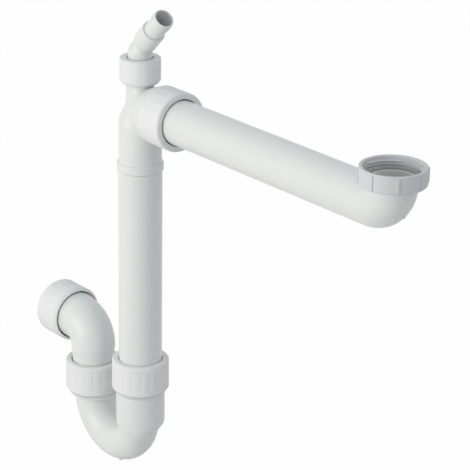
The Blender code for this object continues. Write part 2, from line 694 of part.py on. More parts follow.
# Trap: both sockets and the U-bend between them are one moulding
def trap_bend():
    riser_collar = RISER_NUT_TOP + COLLAR_TOP
    riser_stop = UBEND_START + TRAP_STOP
    bore = BEND_RADIUS - BEND_WALL
    half = 0.5 * LEG_SPACING
    plain_turn = 180.0 - SOCKET_FOOT_TURN - SOCKET_EASE_TURN - LEG_EASE_TURN - LEG_RING_TURN
    outer = Route(0.0, RISER_MOUTH, DOWN, SOCKET_RADIUS)
    outer.line(RISER_MOUTH - riser_collar)
    outer.step(SOCKET_RADIUS + COLLAR_RISE)
    outer.line(COLLAR_LENGTH, SOCKET_RADIUS)
    outer.line(riser_collar - COLLAR_LENGTH - UBEND_START)
    outer.bend(half, -SOCKET_FOOT_TURN, 1)
    outer.bend(half, -SOCKET_EASE_TURN, EASE_STEPS, BEND_RADIUS)
    outer.bend(half, -plain_turn, UBEND_STEPS)
    outer.bend(half, -LEG_EASE_TURN, 1, LEG_RING_RADIUS)
    outer.bend(half, -LEG_RING_TURN, 1)
    outer.line(LEG_COLLAR, SOCKET_RADIUS + COLLAR_RISE)
    outer.step(SOCKET_RADIUS)
    outer.line(LEG_MOUTH - LEG_COLLAR_TOP)
    inner = Route(0.0, RISER_MOUTH, DOWN, SOCKET_BORE + SEAT_WIDTH)
    inner.line(SEAT_DEPTH, SOCKET_BORE)
    inner.line(RISER_MOUTH - SEAT_DEPTH - riser_stop)
    inner.step(bore)
    inner.line(TRAP_STOP)
    inner.bend(half, -180.0, UBEND_STEPS)
    inner.line(LEG_STOP - UBEND_START)
    inner.step(SOCKET_BORE)
    inner.line(LEG_MOUTH - SEAT_DEPTH - LEG_STOP)
    inner.line(SEAT_DEPTH, SOCKET_BORE + SEAT_WIDTH)
    place = Matrix.Translation((RISER_X, 0.0, 0.0))
    trap = finish(pipe(outer, inner), "trap_bend", place, WHITE, PIPE_ROUGHNESS)

    # The moulding's gate leaves a stub under the bend
    root = half + BEND_RADIUS - 0.5 * BEND_WALL
    tip = half + BEND_RADIUS + GATE_STUB_LENGTH
    stub = [(0.0, root), (GATE_STUB_RADIUS, root), (GATE_STUB_RADIUS, tip), (0.0, tip)]
    outward = heading_frame(RISER_X - half, UBEND_START, DOWN + GATE_STUB_TURN)
    combine(trap, cutter(turned_solid(stub, GATE_STUB_SIDES), "gate_stub", outward), "UNION")
    return trap


# Outlet
def outlet_elbow():
    leg_foot = LEG_STOP + LEG_END_CLEARANCE
    bend_foot = OUTLET_AXIS - OUTLET_BEND
    mouth = OUTLET_NUT_REACH + SOCKET_MOUTH
    relief_end = mouth - OUTLET_THREAD
    stop = OUTLET_NUT_REACH - NUT_LENGTH + OUTLET_STOP
    outer = Route(0.0, leg_foot, UP, PIPE_RADIUS - END_CHAMFER)
    outer.line(END_CHAMFER_LENGTH, PIPE_RADIUS)
    outer.line(bend_foot - leg_foot - END_CHAMFER_LENGTH - OUTLET_EASE)
    outer.line(OUTLET_EASE, OUTLET_BODY_RADIUS)
    outer.bend(OUTLET_BEND, 90.0, ELBOW_STEPS)
    outer.line(OUTLET_COLLAR_EASE)
    outer.line(OUTLET_COLLAR_EASE, OUTLET_BODY_RADIUS + OUTLET_COLLAR_RISE)
    outer.line(relief_end - OUTLET_BEND - 2.0 * OUTLET_COLLAR_EASE)
    outer.step(SOCKET_RADIUS)
    outer.line(OUTLET_THREAD)
    inner = Route(0.0, leg_foot, UP, PIPE_RADIUS - PIPE_WALL)
    inner.line(bend_foot - leg_foot)
    inner.bend(OUTLET_BEND, 90.0, ELBOW_STEPS)
    inner.line(stop - OUTLET_BEND)
    inner.step(SOCKET_BORE)
    inner.line(mouth - SEAT_DEPTH - stop)
    inner.line(SEAT_DEPTH, SOCKET_BORE + SEAT_WIDTH)
    place = Matrix.Translation((LEG_X, 0.0, 0.0))
    return finish(pipe(outer, inner), "outlet_elbow", place, WHITE, PIPE_ROUGHNESS)


def main():
    for thing in list(bpy.data.objects):
        bpy.data.objects.remove(thing, do_unlink=True)
    inlet_arm()
    inlet_gasket()
    inlet_nut()
    tee_body()
    riser_tube()
    slip_joint("arm", heading_frame(RISER_X + TEE_NUT_REACH, ARM_AXIS, RIGHT))
    hose_gasket()
    hose_nozzle()
    hose_nut()
    slip_joint("riser", heading_frame(RISER_X, RISER_NUT_TOP, UP))
    trap_bend()
    slip_joint("leg", heading_frame(LEG_X, LEG_NUT_TOP, UP))
    outlet_elbow()
    slip_joint("outlet", heading_frame(LEG_X - OUTLET_NUT_REACH, OUTLET_AXIS, LEFT))


main()
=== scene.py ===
"""Looks of the curved sink trap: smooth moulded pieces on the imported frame, in a plain studio."""

import math

import bmesh
import bpy
from bpy.props import FloatProperty, FloatVectorProperty, IntProperty, PointerProperty
from mathutils import Matrix, Vector
from mathutils.bvhtree import BVHTree


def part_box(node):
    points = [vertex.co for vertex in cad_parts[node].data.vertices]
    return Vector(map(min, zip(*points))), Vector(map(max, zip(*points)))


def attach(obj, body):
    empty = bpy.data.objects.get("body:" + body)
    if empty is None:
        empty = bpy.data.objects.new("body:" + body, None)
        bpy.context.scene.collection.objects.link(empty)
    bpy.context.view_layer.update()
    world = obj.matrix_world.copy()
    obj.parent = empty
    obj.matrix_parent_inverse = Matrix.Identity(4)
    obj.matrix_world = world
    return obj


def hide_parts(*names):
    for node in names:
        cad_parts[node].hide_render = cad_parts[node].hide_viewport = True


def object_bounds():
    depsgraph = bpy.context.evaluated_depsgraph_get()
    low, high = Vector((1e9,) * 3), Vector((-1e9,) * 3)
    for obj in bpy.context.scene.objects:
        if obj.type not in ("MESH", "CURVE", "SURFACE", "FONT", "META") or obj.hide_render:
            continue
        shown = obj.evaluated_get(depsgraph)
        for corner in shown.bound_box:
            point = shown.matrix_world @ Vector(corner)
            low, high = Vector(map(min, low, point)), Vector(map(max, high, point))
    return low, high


bl_info = {
    "name": "Curved Sink Trap",
    "version": (1, 0, 0),
    "blender": (4, 5, 0),
    "location": "3D View > Sidebar > Sink Trap",
    "description": "Builds the visible pieces of a space-saving sink trap and the studio round it",
    "category": "Add Mesh",
}

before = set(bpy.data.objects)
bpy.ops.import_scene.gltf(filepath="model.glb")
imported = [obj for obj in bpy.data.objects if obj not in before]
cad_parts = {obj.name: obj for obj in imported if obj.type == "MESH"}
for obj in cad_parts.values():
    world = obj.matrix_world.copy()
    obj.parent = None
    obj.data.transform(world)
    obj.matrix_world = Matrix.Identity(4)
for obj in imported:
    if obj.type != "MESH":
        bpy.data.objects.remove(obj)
CAD_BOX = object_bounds()

MM = 0.001

# Headings in degrees from +X to +Z
RIGHT = 0.0
LEAN = 45.0
UP = 90.0
LEFT = 180.0
DOWN = -90.0

# Points nearer than this are one
WELD = 0.001 * MM
# How deep the foot of a thread's ridge lies under the surface that it stands on
SUNK = 0.15 * MM
# A socket's end: the plain rim, the run down to the thread's root, and both together
RIM_RUN = 4.0 * MM
ROOT_RUN = 0.8 * MM
HEAD_RUN = 4.8 * MM
# A socket's thread: its turns, and its start above the collar
SOCKET_TURNS = 3.6
SOCKET_START = 3.0 * MM


def low(node):
    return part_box(node)[0]


def high(node):
    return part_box(node)[1]


def middle(node):
    return 0.5 * (low(node) + high(node))


def smooth(share):
    """Runs from 0 to 1 with the share, slow at both ends."""
    return share * share * (3.0 - 2.0 * share)


# Places that the frame settles
RISER_X = middle("riser_tube").x
LEG_X = middle("leg_slip_nut").x
ARM_AXIS = middle("arm_slip_nut").z
OUTLET_AXIS = middle("outlet_slip_nut").z
FLANGE_TOP = high("inlet_arm").z
ARM_END = low("inlet_arm").x
UNION_FOOT = low("inlet_nut").z
UNION_RIM = high("inlet_nut").z
GASKET_FOOT = low("inlet_gasket").z
TEE_FOOT = low("tee_body").z
PORT_TOP = high("tee_body").z
TEE_MOUTH = high("tee_body").x - RISER_X
RISER_TOP = high("riser_tube").z
RISER_END = low("riser_tube").z
HOSE_NUT_TOP = high("hose_nut").z
HOSE_NUT_FOOT = low("hose_nut").z
HOSE_GASKET_FOOT = low("hose_gasket").z
HOSE_GASKET_TOP = high("hose_gasket").z
NOZZLE_FOOT = low("hose_nozzle").z
TRAP_FOOT = low("trap_bend").z
RISER_NUT_TOP = high("riser_slip_nut").z
LEG_NUT_TOP = high("leg_slip_nut").z
LEG_FOOT = low("outlet_elbow").z
ARM_NUT_REACH = high("arm_slip_nut").x - RISER_X
OUTLET_NUT_REACH = LEG_X - low("outlet_slip_nut").x
OUTLET_MOUTH = LEG_X - low("outlet_elbow").x


def length(name, text, millimetres):
    """A size property, in metres."""
    return FloatProperty(name=name, description=text, default=millimetres * MM, min=0.0,
                         precision=5, unit="LENGTH", subtype="DISTANCE")


def colour(name, text, shade):
    return FloatVectorProperty(name=name, description=text, default=shade, size=3,
                               min=0.0, max=1.0, subtype="COLOR")


class SinkTrapPipes(bpy.types.PropertyGroup):
    """Pipe, bend and socket sizes."""
    sides: IntProperty(name="Sides", description="Steps round a pipe", default=112, min=16)
    radius: length("Radius", "Outside radius of the plain pipes", 20.0)
    wall: length("Wall", "Wall of the arm and the elbow", 2.2)
    riser_wall: length("Riser wall", "Wall of the riser", 2.0)
    edge_round: length("Edge round", "Rounding of the moulded edges", 0.45)
    fit: length("Fit", "Clearance of a pipe in a socket", 0.4)
    gap: length("Gap", "Clearance between resting faces", 0.3)
    socket_wall: length("Socket wall", "Wall of a threaded socket", 2.3)
    collar_rise: length("Collar rise", "Height of the collar under a nut", 1.9)
    collar_length: length("Collar length", "Length of the collar's taper", 3.1)
    seat_width: length("Seat width", "Width of the seal's seat in the socket", 1.6)
    seat_depth: length("Seat depth", "Depth of the seal's seat in the socket", 3.6)
    bend_taper: length("Bend taper", "How much slimmer the U is than the pipes", 2.2)
    gate_radius: length("Gate radius", "Radius of the gate's stub under the U", 1.9)
    gate_length: length("Gate length", "How far the gate's stub stands out", 3.4)
    gate_turn: FloatProperty(name="Gate turn", description="Turn of the stub from straight down",
                             default=math.radians(6.0), subtype="ANGLE", unit="ROTATION")
    inlet_throat: length("Inlet throat", "Straight part on the inside of the inlet's bend", 0.6)
    inlet_flange: length("Inlet flange", "How far the inlet's flange stands out", 2.2)
    inlet_flange_thickness: length("Flange thickness", "Thickness of the inlet's flange", 2.6)
    outlet_rise: length("Outlet rise", "How much wider the outlet's bend is than the pipes", 1.0)
    outlet_throat: length("Outlet throat", "Straight part on the inside of the outlet's bend", 0.5)
    outlet_ease: length("Outlet ease", "Length over which the outlet's bend widens", 9.0)
    outlet_collar: length("Outlet collar", "Height of the collar at the outlet's nut", 1.1)
    outlet_thread: length("Outlet thread", "Length of the outlet's thread", 14.0)
    outlet_stop: length("Outlet stop", "From the nut's mouth in to the outlet's stop", 2.5)


class SinkTrapTee(bpy.types.PropertyGroup):
    """Tee and hose port sizes, with heights from the arm's axis."""
    taper: length("Taper", "How much slimmer the upright is than the pipes", 0.6)
    wall: length("Wall", "Wall of the tee", 2.2)
    shoulder_below: length("Shoulder foot", "Where the shoulder starts, below the axis", 14.9)
    shoulder_above: length("Shoulder top", "Where the shoulder ends, above the axis", 7.4)
    bead_length: length("Bead length", "Height of the bead over the riser", 8.1)
    bead_rise: length("Bead rise", "How far the bead stands out from the pipe", 1.1)
    spigot: length("Spigot", "Length of the spigot in the riser", 10.0)
    branch_start: length("Branch start", "Where the branch starts, behind the axis", 8.0)
    branch_root: length("Branch root", "Radius of the branch where it starts", 6.0)
    blend: length("Blend", "Width of the smooth join of branch and upright", 9.0)
    neck: length("Neck", "Outside radius of the hose port's neck", 12.8)
    neck_wall: length("Neck wall", "Wall of the hose port", 2.2)
    neck_collar: length("Neck collar", "How far the collar under the hose nut stands out", 0.8)
    neck_collar_length: length("Collar length", "Height of that collar", 2.2)
    port_thread: length("Port thread", "How far the hose port's thread stands out", 2.5)


class SinkTrapNuts(bpy.types.PropertyGroup):
    """Nut sizes."""
    wall: length("Wall", "Wall of a slip nut", 3.6)
    length: length("Length", "Length of a slip nut", 31.0)
    flange: length("Flange", "Thickness of a nut's closed end", 2.6)
    hole_play: length("Hole play", "Room between the pipe and the nut's hole", 1.3)
    play: length("Play", "Room between nut and socket", 0.3)
    edge_round: length("Edge round", "Rounding of the closed end's rim", 2.2)
    chamfer: length("Chamfer", "Length of the chamfer at the mouth", 2.7)
    mouth_inset: length("Mouth inset", "Depth of the chamfer at the mouth", 1.9)
    grips: IntProperty(name="Grips", description="Flutes round a slip nut", default=20, min=0)
    grip_depth: length("Grip depth", "Depth of a flute", 0.22)
    grip_width: length("Grip width", "Width of a flute", 5.2)
    grip_margin: length("Grip margin", "From a flute's end to the nut's end", 3.6)
    pitch: length("Pitch", "Rise of a slip nut's thread in a turn", 3.5)
    thread_depth: length("Thread depth", "Depth of the threads", 0.8)
    union_wall: length("Union wall", "Wall of the union nut", 3.1)
    union_play: length("Union play", "Room between the flange and the union nut", 1.7)
    union_lip: length("Union lip", "Thickness of the union nut's lip", 1.7)
    union_pitch: length("Union pitch", "Rise of the union nut's thread in a turn", 2.5)
    union_thread_depth: length("Union thread depth", "Depth of the union nut's thread", 1.5)
    ribs: IntProperty(name="Ribs", description="Ribs round the union nut", default=8, min=0)
    rib_phase: FloatProperty(name="Rib phase", description="Turn of the first rib from the arm",
                             default=math.radians(8.4), subtype="ANGLE", unit="ROTATION")
    rib_width: length("Rib width", "Width of a rib", 2.4)
    rib_height: length("Rib height", "How far a rib stands out", 0.9)
    hose_wall: length("Hose nut wall", "Wall of the hose nut", 2.8)
    hose_chamfer: length("Hose nut chamfer", "Chamfer at the hose nut's mouth", 2.2)
    hose_grips: IntProperty(name="Hose nut grips", description="Flats round the hose nut",
                            default=16, min=0)
    hose_grip_depth: length("Hose grip depth", "Depth of a flat on the hose nut", 0.14)
    hose_pitch: length("Hose pitch", "Rise of the hose nut's thread in a turn", 2.5)
    washer: length("Washer", "Thickness of a slip washer", 1.6)
    washer_play: length("Washer play", "Room between pipe and washer", 0.5)
    seal_head: length("Seal head", "Height of a cone seal's head", 2.5)
    seal_cone: length("Seal cone", "Height of a cone seal's cone", 2.3)
    gasket_width: length("Gasket width", "Width of the inlet's gasket", 2.1)


class SinkTrapNozzle(bpy.types.PropertyGroup):
    """Hose nozzle sizes."""
    bore: length("Bore", "Radius of the way through", 7.8)
    wall: length("Wall", "Wall of the base", 3.1)
    flange: length("Flange", "Thickness of the flange in the nut", 2.3)
    flange_inset: length("Flange inset", "How much smaller the flange is than the thread", 0.5)
    corner_rise: length("Corner rise", "Height of the bend's corner over the nut", 8.0)
    bend: length("Bend", "Radius of the bend", 12.0)
    body: length("Body", "From the corner to the tail's shoulder", 27.7)
    tail: length("Tail", "Length of the tail that takes the hose", 20.6)
    tail_wall: length("Tail wall", "Wall of the tail", 1.1)
    throat: length("Throat", "Radius of the way through the bend", 5.0)
    dome_rise: length("Dome rise", "Height of the knuckle's middle over the nut", 4.6)
    waist: length("Waist", "How much slimmer the body is than the base", 0.3)
    body_start: length("Body start", "From the corner to the body's rounded start", 2.6)
    nose: length("Nose", "Length of the body's rounded start", 8.5)
    blend: length("Blend", "Width of the smooth join of base and body", 5.0)
    groove: length("Groove", "Depth of the groove at the tail's root", 0.2)
    barb: length("Barb", "Height of a barb", 0.45)
    barb_pitch: length("Barb pitch", "From one barb to the next", 2.0)
    barbs: IntProperty(name="Barbs", description="Barbs on the tail", default=4, min=0)


class SinkTrapFinish(bpy.types.PropertyGroup):
    """Colours of the plastics, as linear values."""
    pipe: colour("Pipes", "Moulded pipes and bends", (0.752, 0.763, 0.757))
    nut: colour("Nuts", "Slip nuts and the hose nut", (0.740, 0.752, 0.746))
    union: colour("Union nut", "Union nut on the inlet", (0.730, 0.738, 0.744))
    rubber: colour("Rubber", "Cone seals and the hose gasket", (0.060, 0.060, 0.064))
    gasket: colour("Gasket", "Flat gasket on the inlet", (0.400, 0.400, 0.405))
    washer: colour("Washers", "Slip washers", (0.620, 0.640, 0.650))


class SinkTrapStudio(bpy.types.PropertyGroup):
    """Camera, lamps and floor."""
    azimuth: FloatProperty(name="Azimuth", description="Camera's turn round the trap",
                           default=math.radians(49.93388463), subtype="ANGLE", unit="ROTATION")
    elevation: FloatProperty(name="Elevation", description="Camera's height over the horizon",
                             default=math.radians(21.53160766), subtype="ANGLE", unit="ROTATION")
    roll: FloatProperty(name="Roll", description="Camera's tilt about its own axis",
                        default=math.radians(1.04952847), subtype="ANGLE", unit="ROTATION")
    distance: length("Distance", "From the camera to its aim", 1526.937)
    aim: FloatVectorProperty(name="Aim", description="Point straight ahead of the camera",
                             default=(-0.0911920, -0.0800954, -0.0589192), size=3, precision=5,
                             unit="LENGTH", subtype="TRANSLATION")
    lens: FloatProperty(name="Lens", description="Focal length for a 36 mm sensor, in mm",
                        default=149.3617, min=1.0)
    key_power: FloatProperty(name="Key", description="Power of the key lamp", default=13.8,
                             unit="POWER")
    key_turn: FloatProperty(name="Key turn", description="Turn of the key lamp from the camera",
                            default=math.radians(-60.0), subtype="ANGLE", unit="ROTATION")
    key_height: FloatProperty(name="Key height", description="The key lamp's height as an angle",
                              default=math.radians(12.0), subtype="ANGLE", unit="ROTATION")
    key_reach: length("Key reach", "From the trap's middle to the key lamp", 1800.0)
    key_size: length("Key size", "Side of the key lamp", 700.0)
    key_shade: colour("Key colour", "Colour of the key lamp", (1.0, 0.970, 0.930))
    sky: FloatProperty(name="Sky", description="Strength of the even light", default=0.655)
    sky_shade: colour("Sky colour", "Colour of the even light", (0.960, 0.985, 1.0))
    floor_shade: FloatProperty(name="Floor shade", description="How pale the floor's paint is",
                               default=0.68, min=0.0, max=1.0, subtype="FACTOR")
    floor_white: FloatProperty(name="Floor white", description="How far the floor is plain white",
                               default=0.98, min=0.0, max=1.0, subtype="FACTOR")


# Sizes of the patterns in the plastics and the rubber, as noise scales
CLOUD = 26.0
CLOUDLET = 170.0
BLOOM = 120.0
GRAIN = 1500.0
RUBBER_GRAIN = 1800.0
SPARKS = 2600.0
# The mould's parting line: its half width, and where it has faded
SEAM_HALF = 0.08 * MM
SEAM_EDGE = 0.26 * MM


# Shaders
class Signal:
    """A node's output that can be used in sums, so that shader maths reads as maths."""

    def __init__(self, paint, socket):
        self.paint = paint
        self.socket = socket

    def maths(self, operation, first, second):
        return self.paint.add("ShaderNodeMath", {"operation": operation}, {0: first, 1: second})

    def __add__(self, other):
        return self.maths("ADD", self, other)

    __radd__ = __add__

    def __sub__(self, other):
        return self.maths("SUBTRACT", self, other)

    def __rsub__(self, other):
        return self.maths("SUBTRACT", other, self)

    def __mul__(self, other):
        return self.maths("MULTIPLY", self, other)

    __rmul__ = __mul__

    def size(self):
        return self.maths("ABSOLUTE", self, 0.0)

    def ease(self, start, end):
        """0 up to start, 1 from end on, and smooth between."""
        return self.paint.add("ShaderNodeMapRange", {"interpolation_type": "SMOOTHSTEP"},
                              {"Value": self, "From Min": start, "From Max": end})


class Paint:
    """One material, with a method that adds any node."""

    def __init__(self, name):
        self.material = bpy.data.materials.new(name)
        self.material.use_nodes = True
        self.tree = self.material.node_tree
        self.shader = self.tree.nodes["Principled BSDF"]
        self.output = self.tree.nodes["Material Output"]

    def join(self, value, socket):
        if isinstance(value, Signal):
            self.tree.links.new(value.socket, socket)
        else:
            socket.default_value = value

    def add(self, kind, settings=None, sockets=None, output=0):
        node = self.tree.nodes.new(kind)
        for name, value in (settings or {}).items():
            setattr(node, name, value)
        for name, value in (sockets or {}).items():
            self.join(value, node.inputs[name])
        return Signal(self, node.outputs[output])

    def place(self):
        return self.add("ShaderNodeTexCoord", output="Object")

    def parts(self, vector):
        """The X, Y and Z of a vector."""
        first = self.add("ShaderNodeSeparateXYZ", sockets={"Vector": vector})
        node = first.socket.node
        return [Signal(self, node.outputs[index]) for index in range(3)]

    def stretched(self, vector, scale):
        return self.add("ShaderNodeMapping", {"vector_type": "POINT"},
                        {"Vector": vector, "Scale": scale}, "Vector")

    def noise(self, vector, scale, detail=2.0, roughness=0.5):
        """Noise that averages zero and stays near -0.5 to 0.5."""
        made = self.add("ShaderNodeTexNoise", {"noise_dimensions": "3D"},
                        {"Vector": vector, "Scale": scale, "Detail": detail,
                         "Roughness": roughness}, "Fac")
        return made - 0.5

    def tint(self, shade, amount):
        """The shade made lighter or darker by a small signed amount."""
        return self.add("ShaderNodeVectorMath", {"operation": "SCALE"},
                        {0: shade, "Scale": 1.0 + amount}, "Vector")

    def mixed(self, mask, first, second):
        """The first colour where the mask is 0 and the second where it is 1."""
        return self.add("ShaderNodeMix", {"data_type": "RGBA"}, {0: mask, 6: first, 7: second}, 2)

    def bump(self, height, distance, strength=1.0, normal=None):
        sockets = {"Height": height, "Distance": distance, "Strength": strength}
        if normal is not None:
            sockets["Normal"] = normal
        return self.add("ShaderNodeBump", sockets=sockets, output="Normal")

    def skin(self, **sockets):
        """Values and signals for the shader's own sockets."""
        for name, value in sockets.items():
            self.join(value, self.shader.inputs[name.replace("_", " ")])
        return self.material


def plastic_skin(paint, roughness, grain, fleck=0.012):
    """The tone, gloss and fine grain that all the mouldings share. The grain is in mm."""
    where = paint.place()
    cloud = paint.noise(where, CLOUD, 3.0)
    cloudlets = paint.noise(where, CLOUDLET, 2.0)
    tone = cloud * 0.035 + cloudlets * fleck
    fine = paint.noise(where, GRAIN, 2.0)
    skin = paint.bump(fine, grain * MM)
    return where, tone, roughness + cloudlets * 0.10 + cloud * 0.06, skin


def moulded(name, shade, roughness=0.42, grain=0.012, seam=True):
    """Satin plastic out of a mould, with the faint line where the mould's halves met."""
    paint = Paint(name)
    where, tone, gloss, skin = plastic_skin(paint, roughness, grain)
    if seam:
        across = paint.parts(where)[1].size()
        line = 1.0 - across.ease(SEAM_HALF, SEAM_EDGE)
        skin = paint.bump(line, 0.05 * MM, 1.0, skin)
        tone = tone - line * 0.02
    colour_out = paint.tint(shade, tone)
    return paint.skin(Base_Color=colour_out, Roughness=gloss, Normal=skin, IOR=1.5)


def drawn(name, shade, stretch, roughness=0.36):
    """Pipe drawn through a die: fine lines run along it, where the stretch is least."""
    paint = Paint(name)
    where, tone, gloss, skin = plastic_skin(paint, roughness, 0.008)
    lines = paint.noise(paint.stretched(where, stretch), 1.0, 3.0)
    skin = paint.bump(lines, 0.03 * MM, 1.0, skin)
    colour_out = paint.tint(shade, tone + lines * 0.02)
    return paint.skin(Base_Color=colour_out, Roughness=gloss + lines * 0.08, Normal=skin, IOR=1.5)


def textured(name, shade, roughness=0.48):
    """Nut plastic with the mould's spark-eroded texture."""
    paint = Paint(name)
    where, tone, gloss, skin = plastic_skin(paint, roughness, 0.012, 0.02)
    sparks = paint.noise(where, SPARKS, 1.0)
    skin = paint.bump(sparks, 0.018 * MM, 1.0, skin)
    colour_out = paint.tint(shade, tone + sparks * 0.02)
    return paint.skin(Base_Color=colour_out, Roughness=gloss + sparks * 0.06, Normal=skin, IOR=1.5)


def rubber(name, shade):
    """Matt seal rubber with a dusty bloom."""
    paint = Paint(name)
    where = paint.place()
    bloom = paint.noise(where, BLOOM, 4.0).ease(-0.05, 0.3)
    grain = paint.noise(where, RUBBER_GRAIN, 3.0)
    lighter = tuple(min(1.0, channel * 1.8 + 0.01) for channel in shade)
    colour_out = paint.mixed(bloom * 0.6, (*shade, 1.0), (*lighter, 1.0))
    return paint.skin(Base_Color=colour_out, Roughness=0.62 + grain * 0.15,
                      Normal=paint.bump(grain, 0.03 * MM), IOR=1.52)


# Each material: what makes it, its colour's property, and the maker's other values
FINISHES = {
    "arm_pipe_plastic": (drawn, "pipe", (7.0, 900.0, 900.0)),
    "riser_pipe_plastic": (drawn, "pipe", (900.0, 900.0, 7.0)),
    "moulded_plastic": (moulded, "pipe"),
    "nozzle_plastic": (moulded, "pipe", 0.40, 0.010),
    "nut_plastic": (textured, "nut"),
    "union_plastic": (textured, "union", 0.5),
    "washer_plastic": (moulded, "washer", 0.30, 0.006, False),
    "seal_rubber": (rubber, "rubber"),
    "gasket_rubber": (rubber, "gasket"),
}


def skin_of(name):
    """The material of that name, made the first time that it is asked for."""
    if name in bpy.data.materials:
        return bpy.data.materials[name]
    make, tone, *values = FINISHES[name]
    return make(name, getattr(bpy.context.scene.sink_trap_finish, tone), *values)


# Meshes
def heading_frame(x, z, heading):
    """A frame at (x, 0, z) whose local Z points along the heading, in degrees from +X to +Z."""
    turn = math.radians(heading)
    across = Vector((math.sin(turn), 0.0, -math.cos(turn)))
    along = Vector((math.cos(turn), 0.0, math.sin(turn)))
    place = Matrix.Identity(4)
    place.col[0].xyz = across
    place.col[1].xyz = (0.0, 1.0, 0.0)
    place.col[2].xyz = along
    place.col[3].xyz = (x, 0.0, z)
    return place


def outward(bm):
    """Turns every face of one closed shell outwards."""
    bmesh.ops.recalc_face_normals(bm, faces=bm.faces)
    if bm.calc_volume(signed=True) < 0.0:
        bmesh.ops.reverse_faces(bm, faces=bm.faces)


def turned(profile, sides, closed=True, place=None):
    """An outline of (radius, height) points spun about local Z: a ring, or a full body."""
    bm = bmesh.new()
    points = [bm.verts.new((radius, 0.0, height)) for radius, height in profile]
    ends = points[1:] + points[:1] if closed else points[1:]
    edges = [bm.edges.new(pair) for pair in zip(points, ends)]
    bmesh.ops.spin(bm, geom=points + edges, cent=(0, 0, 0), axis=(0, 0, 1), dvec=(0, 0, 0),
                   angle=math.tau, steps=sides, use_merge=True, use_duplicate=False)
    bmesh.ops.remove_doubles(bm, verts=bm.verts, dist=WELD)
    if place is not None:
        bmesh.ops.transform(bm, matrix=place, verts=bm.verts)
    outward(bm)
    return bm


def helix(bm, radius, crest, start, pitch, turns, sides, phase=0.0):
    """Adds a thread's ridge to the mesh: a wedge swept up a right-hand screw, slim at both ends.

    The wedge stands from radius to crest, inwards or outwards, and rises by pitch in a turn."""
    half = 0.36 * pitch
    tip = 0.10 * pitch
    sunk = radius - SUNK if crest > radius else radius + SUNK
    wedge = [(sunk, -half), (crest, -tip), (crest, tip), (sunk, half)]
    ridge = bmesh.new()
    points = [ridge.verts.new((reach, 0.0, rise)) for reach, rise in wedge]
    edges = [ridge.edges.new(pair) for pair in zip(points, points[1:] + points[:1])]
    steps = max(4, round(turns * sides))
    bmesh.ops.spin(ridge, geom=points + edges, cent=(0, 0, 0), axis=(0, 0, 1),
                   dvec=(0, 0, pitch / sides), angle=math.tau * turns, steps=steps,
                   use_merge=False, use_duplicate=False)
    bmesh.ops.holes_fill(ridge, edges=ridge.edges, sides=4)
    outward(ridge)
    run_in = pitch / 30.0
    length_all = turns * pitch
    for vert in ridge.verts:
        at = math.atan2(vert.co.y, vert.co.x) / math.tau * pitch
        along = at + round((vert.co.z - at) / pitch) * pitch
        share = min(1.0, max(0.0, min(along, length_all - along) / run_in))
        reach = vert.co.xy.length
        vert.co.xy *= (sunk + (reach - sunk) * share) / reach
    bmesh.ops.rotate(ridge, verts=ridge.verts, cent=(0, 0, 0),
                     matrix=Matrix.Rotation(phase, 3, "Z"))
    bmesh.ops.translate(ridge, verts=ridge.verts, vec=(0, 0, start))
    merge(bm, ridge)


def thread(bm, place, radius, crest, start, pitch, turns, sides):
    """Adds a thread's ridge round the local Z of a place."""
    ridge = bmesh.new()
    helix(ridge, radius, crest, start, pitch, turns, sides)
    bmesh.ops.transform(ridge, matrix=place, verts=ridge.verts)
    merge(bm, ridge)


def merge(bm, other):
    """Moves the other mesh's pieces into the first one."""
    carrier = bpy.data.meshes.new("carrier")
    other.to_mesh(carrier)
    other.free()
    bm.from_mesh(carrier)
    bpy.data.meshes.remove(carrier)


class Route:
    """The rings of one skin of a pipe, from its start on, in the XZ plane.

    Each ring is its place, its heading in degrees and its radius."""

    def __init__(self, x, z, heading, radius):
        self.rings = [(x, z, heading, radius)]

    def line(self, length, radius=None):
        x, z, heading, last = self.rings[-1]
        turn = math.radians(heading)
        x += length * math.cos(turn)
        z += length * math.sin(turn)
        self.rings.append((x, z, heading, last if radius is None else radius))

    def step(self, radius):
        self.line(0.0, radius)

    def ease(self, length, radius, steps):
        """A straight run that widens or narrows smoothly."""
        last = self.rings[-1][3]
        for index in range(1, steps + 1):
            self.line(length / steps, last + (radius - last) * smooth(index / steps))

    def bend(self, bend_radius, degrees, steps, radius=None):
        x, z, first, last = self.rings[-1]
        end = last if radius is None else radius
        side = math.copysign(bend_radius, degrees)
        centre_x = x - side * math.sin(math.radians(first))
        centre_z = z + side * math.cos(math.radians(first))
        for index in range(1, steps + 1):
            share = index / steps
            heading = first + degrees * share
            turn = math.radians(heading)
            x = centre_x + side * math.sin(turn)
            z = centre_z - side * math.cos(turn)
            self.rings.append((x, z, heading, last + (end - last) * smooth(share)))


def swept(rings, sides):
    """A skin grown ring by ring."""
    bm = bmesh.new()
    x, z, heading, radius = rings[0]
    here = heading_frame(x, z, heading)
    bmesh.ops.create_circle(bm, segments=sides, radius=radius, matrix=here)
    edges = bm.edges[:]
    for x, z, heading, next_radius in rings[1:]:
        grown = bmesh.ops.extrude_edge_only(bm, edges=edges)["geom"]
        verts = [item for item in grown if isinstance(item, bmesh.types.BMVert)]
        edges = [item for item in grown if isinstance(item, bmesh.types.BMEdge)]
        there = heading_frame(x, z, heading)
        size = next_radius / radius
        move = there @ Matrix.Diagonal((size, size, 1.0, 1.0)) @ here.inverted()
        bmesh.ops.transform(bm, matrix=move, verts=verts)
        here = there
        radius = next_radius
    return bm


def pipe(outer, inner, sides):
    """One closed wall, out along the outer skin and back along the inner one."""
    bm = swept(outer.rings + inner.rings[::-1] + outer.rings[:1], sides)
    bmesh.ops.remove_doubles(bm, verts=bm.verts, dist=WELD)
    outward(bm)
    return bm


